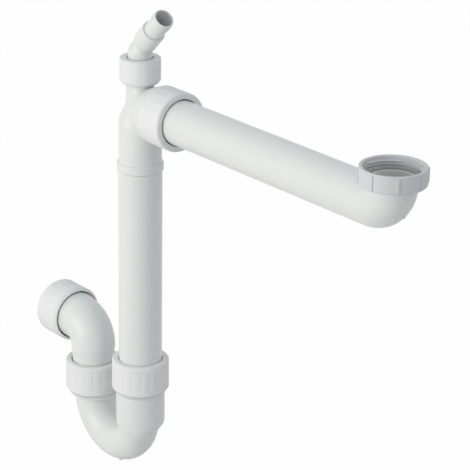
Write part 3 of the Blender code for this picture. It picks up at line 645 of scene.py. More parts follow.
def rod(route, sides):
    """A solid bar along a route."""
    bm = swept(route.rings, sides)
    bmesh.ops.holes_fill(bm, edges=[edge for edge in bm.edges if edge.is_boundary], sides=0)
    outward(bm)
    return bm


def solid_object(bm, name):
    mesh = bpy.data.meshes.new(name)
    bm.to_mesh(mesh)
    made = bpy.data.objects.new(name, mesh)
    bpy.context.scene.collection.objects.link(made)
    return made


def combined(bm, others, voxel=0.0):
    """The mesh joined with or cut by others, and made into even faces if a voxel size is given."""
    made = solid_object(bm, "joined")
    tools = [solid_object(other, "tool") for other, _ in others]
    for tool, (_, operation) in zip(tools, others):
        change = made.modifiers.new(operation, "BOOLEAN")
        change.operation = operation
        change.solver = "MANIFOLD"
        change.object = tool
    if voxel:
        remesh = made.modifiers.new("even", "REMESH")
        remesh.mode = "VOXEL"
        remesh.voxel_size = voxel
    view = bpy.context.evaluated_depsgraph_get()
    result = bmesh.new()
    result.from_object(made, view)
    for thing in [made] + tools:
        mesh = thing.data
        bpy.data.objects.remove(thing)
        bpy.data.meshes.remove(mesh)
    return result


def blended(first, second, voxel, reach, passes):
    """Two bodies joined, with a soft fillet where they meet."""
    whole = combined(first, [(second, "UNION")], voxel)
    skins = [BVHTree.FromBMesh(body) for body in (first, second)]
    bands = {share: [] for share in (1.0, 0.7, 0.4)}
    for vert in whole.verts:
        away = max(skin.find_nearest(vert.co)[3] for skin in skins)
        for share, members in bands.items():
            if away < reach * share:
                members.append(vert)
    for members in bands.values():
        for _ in range(passes):
            bmesh.ops.smooth_vert(whole, verts=members, factor=0.5, use_axis_x=True,
                                  use_axis_y=True, use_axis_z=True)
    first.free()
    second.free()
    return whole


def round_edges(bm, width, segments=3, sharp=30.0):
    """Rounds every edge that turns by more than the angle, in degrees."""
    corners = [edge for edge in bm.edges if edge.is_manifold
               and edge.calc_face_angle() > math.radians(sharp)]
    bmesh.ops.bevel(bm, geom=corners, offset=width, offset_type="OFFSET", segments=segments,
                    profile=0.5, affect="EDGES", clamp_overlap=True, material=-1)


def piece(bm, name, body, node, skin, place=None):
    """Makes the mesh a finished piece that rides on a body and stands for a node.

    The skin is a material's name, and the place is where a mesh made at the origin belongs.
    The faces aren't turned here: a thread's slim ends would decide the way for its whole ridge."""
    if place is not None:
        bmesh.ops.transform(bm, matrix=place, verts=bm.verts)
    mesh = bpy.data.meshes.new(name)
    bm.to_mesh(mesh)
    bm.free()
    mesh.shade_smooth()
    mesh.set_sharp_from_angle(angle=math.radians(38.0))
    made = bpy.data.objects.new(name, mesh)
    mesh.materials.append(skin_of(skin))
    bpy.context.scene.collection.objects.link(made)
    even = made.modifiers.new("even_shading", "WEIGHTED_NORMAL")
    even.keep_sharp = True
    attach(made, body)
    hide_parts(node)
    return made


def socket_radius(pipes):
    return pipes.radius + pipes.fit + pipes.socket_wall


class Builder:
    """What every operator of this add-on shares."""
    bl_options = {"REGISTER", "UNDO"}

    def load(self, context):
        """Fetches the sizes that the panel shows."""
        scene = context.scene
        self.pipes = scene.sink_trap_pipes
        self.tee = scene.sink_trap_tee
        self.nuts = scene.sink_trap_nuts
        self.nozzle = scene.sink_trap_nozzle
        self.studio = scene.sink_trap_studio


class SINKTRAP_OT_inlet_arm(Builder, bpy.types.Operator):
    """Makes the long pipe with its upturned, flanged inlet, and the inlet's gasket"""
    bl_idname = "sinktrap.inlet_arm"
    bl_label = "Inlet Arm"

    BEND_STEPS = 28
    # The gates' two stubs: degrees down the bend, degrees round the pipe, and height in mm
    PIPS = ((40.5, -21.5, 0.7), (39.0, 9.5, 0.9))
    PIP_FOOT = 1.2 * MM
    PIP_TOP = 0.95 * MM
    PIP_SUNK = 0.8 * MM

    def pip(self, bm, bend, down, round_pipe, height):
        """A trimmed gate's stub on the outside of the inlet's bend."""
        radius = self.pipes.radius
        out = Vector((math.cos(down) * math.cos(round_pipe), math.sin(round_pipe),
                      -math.sin(down) * math.cos(round_pipe)))
        heart = Vector((bend * math.cos(down) - bend, 0.0,
                        ARM_AXIS + bend - bend * math.sin(down)))
        stub = turned([(0.0, -self.PIP_SUNK), (self.PIP_FOOT, -self.PIP_SUNK),
                       (self.PIP_TOP, height), (0.0, height)], 20, False)
        round_edges(stub, 0.2 * MM, 2)
        turn = out.to_track_quat("Z", "Y").to_matrix().to_4x4()
        bmesh.ops.transform(stub, matrix=Matrix.Translation(heart + out * radius) @ turn,
                            verts=stub.verts)
        merge(bm, stub)

    def execute(self, context):
        self.load(context)
        pipes = self.pipes
        bend = pipes.radius + pipes.inlet_throat
        run = -bend - ARM_END
        neck = FLANGE_TOP - pipes.inlet_flange_thickness - (ARM_AXIS + bend)
        flange = pipes.radius + pipes.inlet_flange
        outer = Route(ARM_END, ARM_AXIS, RIGHT, pipes.radius)
        outer.line(run)
        outer.bend(bend, UP - RIGHT, self.BEND_STEPS)
        outer.line(neck)
        outer.step(flange)
        outer.line(pipes.inlet_flange_thickness)
        inner = Route(ARM_END, ARM_AXIS, RIGHT, pipes.radius - pipes.wall)
        inner.line(run)
        inner.bend(bend, UP - RIGHT, self.BEND_STEPS)
        inner.line(neck + pipes.inlet_flange_thickness)
        bm = pipe(outer, inner, pipes.sides)
        round_edges(bm, pipes.edge_round)
        for down, round_pipe, height in self.PIPS:
            self.pip(bm, bend, math.radians(down), math.radians(round_pipe), height * MM)
        piece(bm, "arm_with_inlet", "arm", "inlet_arm", "arm_pipe_plastic")

        edge = high("inlet_gasket").x
        bore = edge - self.nuts.gasket_width
        outline = [(bore, GASKET_FOOT), (bore, 0.0), (edge, 0.0), (edge, GASKET_FOOT)]
        bm = turned(outline, pipes.sides)
        round_edges(bm, 0.3 * MM)
        piece(bm, "inlet_flat_gasket", "arm", "inlet_gasket", "gasket_rubber")
        return {"FINISHED"}


class SINKTRAP_OT_union_nut(Builder, bpy.types.Operator):
    """Makes the ribbed union nut with its inside thread"""
    bl_idname = "sinktrap.union_nut"
    bl_label = "Union Nut"

    SIDES = 144
    # The thread is cut off in sectors: how many there are, how wide each is and where the first
    # one starts, in degrees, and its rows, the first one this far under the rim
    SECTORS = 3
    SECTOR = 85.0
    SECTOR_START = 113.0
    ROWS = 4
    HEADROOM = 4.2 * MM

    def execute(self, context):
        self.load(context)
        nuts = self.nuts
        hole = self.pipes.radius + 0.5 * MM
        bore = self.pipes.radius + self.pipes.inlet_flange + nuts.union_play
        edge = bore + nuts.union_wall
        lip = UNION_FOOT + nuts.union_lip
        outline = [
            (hole, UNION_FOOT),
            (hole, lip),
            (bore, lip),
            (bore, UNION_RIM - 0.9 * MM),
            (bore + 0.5 * MM, UNION_RIM),
            (edge - 0.4 * MM, UNION_RIM),
            (edge, UNION_RIM - 0.8 * MM),
            (edge, UNION_FOOT + 1.0 * MM),
            (edge - 1.0 * MM, UNION_FOOT),
        ]
        bm = turned(outline, self.SIDES)
        round_edges(bm, 0.35 * MM, 3, 20.0)
        sector = math.radians(self.SECTOR)
        for index in range(self.SECTORS):
            phase = math.radians(self.SECTOR_START) + index * math.tau / self.SECTORS
            for row in range(self.ROWS):
                start = (UNION_RIM - self.HEADROOM
                         - (row + index / self.SECTORS) * nuts.union_pitch)
                helix(bm, bore, bore - nuts.union_thread_depth, start, nuts.union_pitch,
                      sector / math.tau, self.SIDES, phase)
        foot = UNION_FOOT + 1.2 * MM
        top = UNION_RIM - 1.5 * MM
        root = edge - 0.8 * MM
        tip = edge + nuts.rib_height
        for index in range(nuts.ribs):
            turn = Matrix.Rotation(nuts.rib_phase + math.tau / nuts.ribs * index, 4, "Z")
            move = Matrix.Translation((0.5 * (root + tip), 0.0, 0.5 * (foot + top)))
            size = Matrix.Diagonal((tip - root, nuts.rib_width, top - foot, 1.0))
            rib = bmesh.new()
            bmesh.ops.create_cube(rib, size=1.0, matrix=turn @ move @ size)
            round_edges(rib, 0.25 * MM)
            merge(bm, rib)
        piece(bm, "union_nut", "inlet_nut", "inlet_nut", "union_plastic")
        return {"FINISHED"}


class SINKTRAP_OT_tee(Builder, bpy.types.Operator):
    """Makes the tee with its shoulder, hose port, bead, spigot and side socket"""
    bl_idname = "sinktrap.tee"
    bl_label = "Tee"

    # Steps of a smooth outline, and the blended body's mesh size and rounds of smoothing
    ROWS = 24
    EVEN = 0.9 * MM
    PASSES = 34
    PORT_TURNS = 2.4

    def upright(self, body, neck, foot, top):
        """The upright's outline between two heights, with the shoulder in it."""
        start = ARM_AXIS - self.tee.shoulder_below
        rise = self.tee.shoulder_below + self.tee.shoulder_above
        outline = [(body, foot)]
        for index in range(self.ROWS + 1):
            share = index / self.ROWS
            outline.append((body + (neck - body) * smooth(share), start + rise * share))
        outline.append((neck, top))
        return outline

    def execute(self, context):
        self.load(context)
        pipes = self.pipes
        tee = self.tee
        nuts = self.nuts
        sides = pipes.sides
        radius = pipes.radius - tee.taper
        bead_foot = TEE_FOOT + tee.spigot
        bead_top = bead_foot + tee.bead_length
        bead = pipes.radius + tee.bead_rise
        spigot = pipes.radius - pipes.riser_wall - pipes.gap
        collar_top = HOSE_NUT_FOOT - pipes.gap
        collar_foot = collar_top - tee.neck_collar_length
        upright = heading_frame(RISER_X, 0.0, UP)
        sideways = heading_frame(RISER_X, ARM_AXIS, RIGHT)
        socket = socket_radius(pipes)
        collar = ARM_NUT_REACH - nuts.length - pipes.gap
        root = socket - nuts.thread_depth
        rim = socket + pipes.collar_rise

        trunk_foot = bead_top - 2.0 * MM
        trunk_top = collar_foot + 1.2 * MM
        outline = [(0.0, trunk_foot)]
        outline += self.upright(radius, tee.neck, trunk_foot, trunk_top)
        outline += [(0.0, trunk_top)]
        trunk = turned(outline, sides, False, upright)
        # The branch swells from behind the upright's axis, and late in its run to the collar's rim
        outline = [(0.0, -tee.branch_start)]
        for index in range(self.ROWS + 1):
            share = index / self.ROWS
            reach = -tee.branch_start + (collar + tee.branch_start) * share
            width = tee.branch_root + (socket - tee.branch_root) * math.sin(0.5 * math.pi * share)
            late = max(0.0, share / 0.4 - 1.5)
            outline.append((width + pipes.collar_rise * smooth(late), reach))
        outline.append((0.0, collar))
        whole = blended(trunk, turned(outline, sides, False, sideways), self.EVEN, tee.blend,
                        self.PASSES)

        foot = turned([
            (0.0, TEE_FOOT),
            (spigot - 0.8 * MM, TEE_FOOT),
            (spigot, TEE_FOOT + 0.8 * MM),
            (spigot, bead_foot),
            (bead - 0.5 * MM, bead_foot),
            (bead, bead_foot + 0.9 * MM),
            (bead, bead_top - 1.3 * MM),
            (bead - 0.9 * MM, bead_top),
            (radius - 0.3 * MM, bead_top),
            (radius - 0.3 * MM, bead_top + 1.5 * MM),
            (0.0, bead_top + 1.5 * MM),
        ], sides, False, upright)
        round_edges(foot, 0.35 * MM, 3, 25.0)
        thread_foot = HOSE_NUT_FOOT + 1.5 * MM
        port = tee.neck + tee.port_thread
        port_root = port - 0.7 * MM
        neck = turned([
            (0.0, collar_foot - 1.0 * MM),
            (tee.neck - 0.2 * MM, collar_foot - 1.0 * MM),
            (tee.neck - 0.2 * MM, collar_foot),
            (tee.neck + tee.neck_collar, collar_foot),
            (tee.neck + tee.neck_collar, collar_top),
            (tee.neck, collar_top),
            (tee.neck, thread_foot),
            (port_root, thread_foot + 1.2 * MM),
            (port_root, PORT_TOP - 2.0 * MM),
            (port, PORT_TOP - 1.6 * MM),
            (port, PORT_TOP),
            (0.0, PORT_TOP),
        ], sides, False, upright)
        round_edges(neck, 0.25 * MM, 2, 25.0)
        mouth = turned([
            (0.0, collar - 1.5 * MM),
            (rim - 0.05 * MM, collar - 1.5 * MM),
            (rim, collar),
            (root, collar),
            (root, TEE_MOUTH - HEAD_RUN),
            (socket, TEE_MOUTH - RIM_RUN),
            (socket, TEE_MOUTH),
            (0.0, TEE_MOUTH),
        ], sides, False, sideways)
        round_edges(mouth, 0.3 * MM, 3, 25.0)

        bore_radius = radius - tee.wall
        bore = turned(
            [(0.0, TEE_FOOT - 1.0 * MM), (spigot - pipes.riser_wall, TEE_FOOT - 1.0 * MM),
             (spigot - pipes.riser_wall, bead_foot + 4.0 * MM)]
            + self.upright(bore_radius, tee.neck - tee.neck_wall, bead_top + 6.0 * MM,
                           PORT_TOP + 1.0 * MM)
            + [(0.0, PORT_TOP + 1.0 * MM)], sides, False, upright)
        plain = pipes.radius - pipes.wall
        bore_wide = pipes.radius + pipes.fit
        stop = radius + 2.1 * MM
        # The way narrows where the branch opens into the upright, and widens for the seal
        passage = turned([
            (0.0, -4.0 * MM),
            (9.0 * MM, -4.0 * MM),
            (12.0 * MM, 0.0),
            (15.5 * MM, 8.0 * MM),
            (plain, stop - tee.wall),
            (plain, stop),
            (bore_wide, stop),
            (bore_wide, TEE_MOUTH - pipes.seat_depth),
            (bore_wide + pipes.seat_width, TEE_MOUTH),
            (bore_wide + pipes.seat_width, TEE_MOUTH + 1.0 * MM),
            (0.0, TEE_MOUTH + 1.0 * MM),
        ], sides, False, sideways)
        made = combined(whole, [(foot, "UNION"), (neck, "UNION"), (mouth, "UNION"),
                                (bore, "DIFFERENCE"), (passage, "DIFFERENCE")])
        for body in (whole, foot, neck, mouth, bore, passage):
            body.free()
        thread(made, sideways, root, socket, collar + SOCKET_START, nuts.pitch, SOCKET_TURNS,
               sides)
        thread(made, upright, port_root, port, thread_foot + 3.0 * MM, nuts.hose_pitch,
               self.PORT_TURNS, sides)
        piece(made, "tee_with_hose_port", "tee", "tee_body", "moulded_plastic")
        return {"FINISHED"}


class SINKTRAP_OT_riser(Builder, bpy.types.Operator):
    """Makes the long upright pipe"""
    bl_idname = "sinktrap.riser"
    bl_label = "Riser"

    def execute(self, context):
        self.load(context)
        pipes = self.pipes
        inner = pipes.radius - pipes.riser_wall
        bm = turned([
            (inner, RISER_END),
            (inner, RISER_TOP),
            (pipes.radius, RISER_TOP),
            (pipes.radius, RISER_END + 1.0 * MM),
            (pipes.radius - 0.7 * MM, RISER_END),
        ], pipes.sides, True, heading_frame(RISER_X, 0.0, UP))
        round_edges(bm, 0.25 * MM)
        piece(bm, "riser_pipe", "tee", "riser_tube", "riser_pipe_plastic")
        return {"FINISHED"}


class SlipJoint:
    """Where one slip joint is, what its names start with, and which body its seal rides on.

    Snug is the room in the nut's hole, as a share of the usual play."""

    def __init__(self, name, place, seal_body, snug):
        self.name = name
        self.place = place
        self.seal_body = seal_body
        self.snug = snug


def slip_joints():
    return [
        SlipJoint("arm", heading_frame(RISER_X + ARM_NUT_REACH, ARM_AXIS, RIGHT), "arm_seal", 1.0),
        SlipJoint("riser", heading_frame(RISER_X, RISER_NUT_TOP, UP), "riser_seal", 0.5),
        SlipJoint("leg", heading_frame(LEG_X, LEG_NUT_TOP, UP), "leg_seal", 0.85),
        SlipJoint("outlet", heading_frame(LEG_X - OUTLET_NUT_REACH, OUTLET_AXIS, LEFT), "outlet",
                  1.0),
    ]


class SINKTRAP_OT_slip_nuts(Builder, bpy.types.Operator):
    """Makes the four fluted slip nuts with their inside threads"""
    bl_idname = "sinktrap.slip_nuts"
    bl_label = "Slip Nuts"

    # Steps across a flute and its ridge, round the closed end's rim, and down the outside
    FLUTE_STEPS = 12
    RIM_STEPS = 6
    ROWS = 26
    # The thread: its turns, its start above the mouth, and where its root runs out to the crest
    TURNS = 4.4
    START = 2.6 * MM
    ROOT_END = 11.3 * MM
    CREST_START = 10.5 * MM

    def flute(self, bm, radius):
        """Presses shallow flutes with rounded ends into the nut's outer skin."""
        nuts = self.nuts
        sector = math.tau / nuts.grips
        half = 0.5 * nuts.grip_width
        top = -nuts.grip_margin - half
        foot = -(nuts.length - nuts.chamfer - nuts.grip_margin) + half
        for vert in bm.verts:
            reach = vert.co.xy.length
            if reach < radius - 0.01 * MM:
                continue
            angle = math.atan2(vert.co.y, vert.co.x) / sector
            aside = (angle - round(angle)) * sector * radius
            beyond = max(0.0, vert.co.z - top, foot - vert.co.z)
            share = min(1.0, (aside * aside + beyond * beyond) / (half * half))
            vert.co.xy *= 1.0 - nuts.grip_depth * (1.0 - share) ** 1.5 / reach

    def execute(self, context):
        self.load(context)
        pipes = self.pipes
        nuts = self.nuts
        crest = socket_radius(pipes) + nuts.play
        root = crest + nuts.thread_depth
        radius = crest + nuts.wall
        sides = nuts.grips * self.FLUTE_STEPS
        skin_foot = -(nuts.length - nuts.chamfer)
        for joint in slip_joints():
            hole = pipes.radius + nuts.hole_play * joint.snug
            outline = [(hole, -nuts.flange), (hole, 0.0)]
            for index in range(self.RIM_STEPS + 1):
                turn = math.radians(90.0 * (1.0 - index / self.RIM_STEPS))
                outline.append((radius - nuts.edge_round * (1.0 - math.cos(turn)),
                                -nuts.edge_round * (1.0 - math.sin(turn))))
            start = -nuts.edge_round
            for index in range(1, self.ROWS + 1):
                outline.append((radius, start + (skin_foot - start) * index / self.ROWS))
            outline += [
                (radius - nuts.mouth_inset, -nuts.length),
                (root, -nuts.length),
                (root, -self.ROOT_END),
                (crest, -self.CREST_START),
                (crest, -nuts.flange),
            ]
            bm = turned(outline, sides)
            self.flute(bm, radius)
            round_edges(bm, 0.3 * MM, 3, 25.0)
            helix(bm, root, crest, -nuts.length + self.START, nuts.pitch, self.TURNS,
                  sides // 2)
            piece(bm, joint.name + "_fluted_nut", joint.name + "_nut", joint.name + "_slip_nut",
                  "nut_plastic", joint.place)
        return {"FINISHED"}


class SINKTRAP_OT_slip_rings(Builder, bpy.types.Operator):
    """Makes the washers and cone seals of the four slip joints"""
    bl_idname = "sinktrap.slip_rings"
    bl_label = "Washers and Seals"

    def execute(self, context):
        self.load(context)
        pipes = self.pipes
        nuts = self.nuts
        bore = socket_radius(pipes) + nuts.play
        seat = pipes.radius + pipes.fit + pipes.seat_width
        top = -(nuts.flange + pipes.gap)
        foot = top - nuts.washer
        head_top = foot - pipes.gap
        head_foot = head_top - nuts.seal_head
        tip = head_foot - pipes.gap - nuts.seal_cone
        slope = pipes.seat_width / pipes.seat_depth
        clear = 1.1 * pipes.gap
        inner = pipes.radius + nuts.washer_play
        for joint in slip_joints():
            bm = turned([(inner, foot), (inner, top), (bore - 0.4 * MM, top),
                         (bore - 0.4 * MM, foot)], pipes.sides)
            round_edges(bm, 0.25 * MM)
            piece(bm, joint.name + "_thin_washer", joint.name + "_washer",
                  joint.name + "_slip_washer", "washer_plastic", joint.place)
            bm = turned([
                (pipes.radius + pipes.gap, tip),
                (pipes.radius + pipes.gap, head_top),
                (bore - 2.0 * pipes.gap, head_top),
                (bore - 2.0 * pipes.gap, head_foot),
                (seat - clear + slope * pipes.gap, head_foot),
                (seat - clear - slope * nuts.seal_cone, tip),
            ], pipes.sides)
            round_edges(bm, 0.2 * MM)
            piece(bm, joint.name + "_rubber_cone", joint.seal_body, joint.name + "_cone_seal",
                  "seal_rubber", joint.place)
        return {"FINISHED"}


class SINKTRAP_OT_hose_port(Builder, bpy.types.Operator):
    """Makes the hose nozzle, its nut and its gasket"""
    bl_idname = "sinktrap.hose_port"
    bl_label = "Hose Port"

    SIDES = 96
    NUT_TURNS = 3.6
    NUT_START = 2.2 * MM
    # The knuckle's mesh size and rounds of smoothing
    EVEN = 0.45 * MM
    PASSES = 60
    DOME_STEPS = 16
    NOSE_STEPS = 12

    def execute(self, context):
        self.load(context)
        self.gasket()
        self.nut()
        self.spout()
        return {"FINISHED"}

    def gasket(self):
        inner = self.nozzle.bore + 1.2 * MM
        outer = self.tee.neck + self.tee.port_thread - self.nozzle.flange_inset
        bm = turned([(inner, HOSE_GASKET_FOOT), (inner, HOSE_GASKET_TOP),
                     (outer, HOSE_GASKET_TOP), (outer, HOSE_GASKET_FOOT)], self.pipes.sides)
        round_edges(bm, 0.25 * MM)
        piece(bm, "hose_flat_gasket", "hose_seal", "hose_gasket", "seal_rubber",
              heading_frame(RISER_X, 0.0, UP))

    def nut(self):
        nuts = self.nuts
        crest = self.tee.neck + self.tee.port_thread + nuts.play
        root = crest + 0.7 * MM
        edge = crest + nuts.hose_wall
        hole = self.nozzle.bore + self.nozzle.wall + 1.3 * MM
        flange_foot = HOSE_NUT_TOP - nuts.flange
        bm = turned([
            (hole, flange_foot),
            (hole, HOSE_NUT_TOP),
            (edge - 0.9 * MM, HOSE_NUT_TOP),
            (edge, HOSE_NUT_TOP - 0.9 * MM),
            (edge, HOSE_NUT_FOOT + nuts.hose_chamfer),
            (root + 0.3 * MM, HOSE_NUT_FOOT),
            (root, HOSE_NUT_FOOT),
            (root, PORT_TOP - 1.0 * MM),
            (crest, PORT_TOP - 0.3 * MM),
            (crest, flange_foot),
        ], self.pipes.sides)
        round_edges(bm, 0.35 * MM, 3, 25.0)
        for vert in bm.verts:
            reach = vert.co.xy.length
            if reach > edge - 0.1 * MM:
                wave = 0.5 - 0.5 * math.cos(nuts.hose_grips * math.atan2(vert.co.y, vert.co.x))
                vert.co.xy *= 1.0 - nuts.hose_grip_depth * wave / reach
        helix(bm, root, crest, HOSE_NUT_FOOT + self.NUT_START, nuts.hose_pitch, self.NUT_TURNS,
              self.pipes.sides)
        piece(bm, "hose_round_nut", "hose_nut", "hose_nut", "nut_plastic",
              heading_frame(RISER_X, 0.0, UP))

    def knuckle(self, corner, radius):
        """The domed base and the start of the leaning body, with a soft notch between them."""
        spout = self.nozzle
        dome = HOSE_NUT_TOP + spout.dome_rise
        outline = [(0.0, NOZZLE_FOOT + 0.5 * MM), (radius, NOZZLE_FOOT + 0.5 * MM)]
        for index in range(self.DOME_STEPS + 1):
            turn = 0.5 * math.pi * index / self.DOME_STEPS
            outline.append((radius * math.cos(turn), dome + radius * math.sin(turn)))
        base = turned(outline, self.SIDES, False, heading_frame(0.0, 0.0, UP))
        slim = radius - spout.waist
        start = spout.body_start
        outline = [(0.0, start)]
        for index in range(1, self.NOSE_STEPS + 1):
            turn = 0.5 * math.pi * index / self.NOSE_STEPS
            outline.append((slim * math.sin(turn), start + spout.nose * (1.0 - math.cos(turn))))
        end = spout.body - 6.0 * MM
        outline += [(slim, end), (0.0, end)]
        body = turned(outline, self.SIDES, False, heading_frame(0.0, corner, LEAN))
        return blended(base, body, self.EVEN, spout.blend, self.PASSES)

    def spout(self):
        """The nozzle: flange, knuckle and the leaning arm with its barbed tail, bored through."""
        spout = self.nozzle
        radius = spout.bore + spout.wall
        flange_top = HOSE_NUT_TOP - self.nuts.flange - self.pipes.gap
        flange = self.tee.neck + self.tee.port_thread - spout.flange_inset
        corner = HOSE_NUT_TOP + spout.corner_rise
        whole = self.knuckle(corner, radius)
        foot = turned([(0.0, NOZZLE_FOOT), (flange, NOZZLE_FOOT), (flange, flange_top),
                       (0.0, flange_top)], self.SIDES, False)
        round_edges(foot, 0.16 * MM, 2)
        slim = radius - spout.waist
        tail = spout.bore + spout.tail_wall
        end = spout.body + spout.tail
        nose_end = spout.body_start + spout.nose
        outline = [(0.0, nose_end + 2.0 * MM),
                   (slim - 0.2 * MM, nose_end + 2.0 * MM),
                   (slim + 0.05 * MM, nose_end + 5.0 * MM),
                   (slim, spout.body),
                   (tail - spout.groove, spout.body),
                   (tail - spout.groove, spout.body + 0.7 * MM),
                   (tail, spout.body + 1.1 * MM)]
        last = end - 0.8 * MM
        first = last - spout.barbs * spout.barb_pitch
        for index in range(spout.barbs):
            ring = first + index * spout.barb_pitch
            outline += [(tail, ring), (tail + spout.barb, ring + 0.2 * MM)]
        outline += [(tail, last), (tail, end), (0.0, end)]
        arm = turned(outline, self.SIDES, False, heading_frame(0.0, corner, LEAN))
        round_edges(arm, 0.16 * MM, 2, 32.0)
        tangent = spout.bend * math.tan(math.radians(0.5 * (UP - LEAN)))
        way = Route(0.0, NOZZLE_FOOT - 1.0 * MM, UP, spout.bore)
        way.line(corner - tangent - 4.0 * MM - NOZZLE_FOOT)
        way.line(5.0 * MM, spout.throat)
        way.bend(spout.bend, LEAN - UP, 14)
        way.line(6.0 * MM, spout.bore)
        way.line(end - tangent - 5.0 * MM)
        made = combined(whole, [(foot, "UNION"), (arm, "UNION"),
                                (rod(way, self.SIDES), "DIFFERENCE")])
        piece(made, "elbowed_hose_nozzle", "nozzle", "hose_nozzle",
              "nozzle_plastic", Matrix.Translation((RISER_X, 0.0, 0.0)))


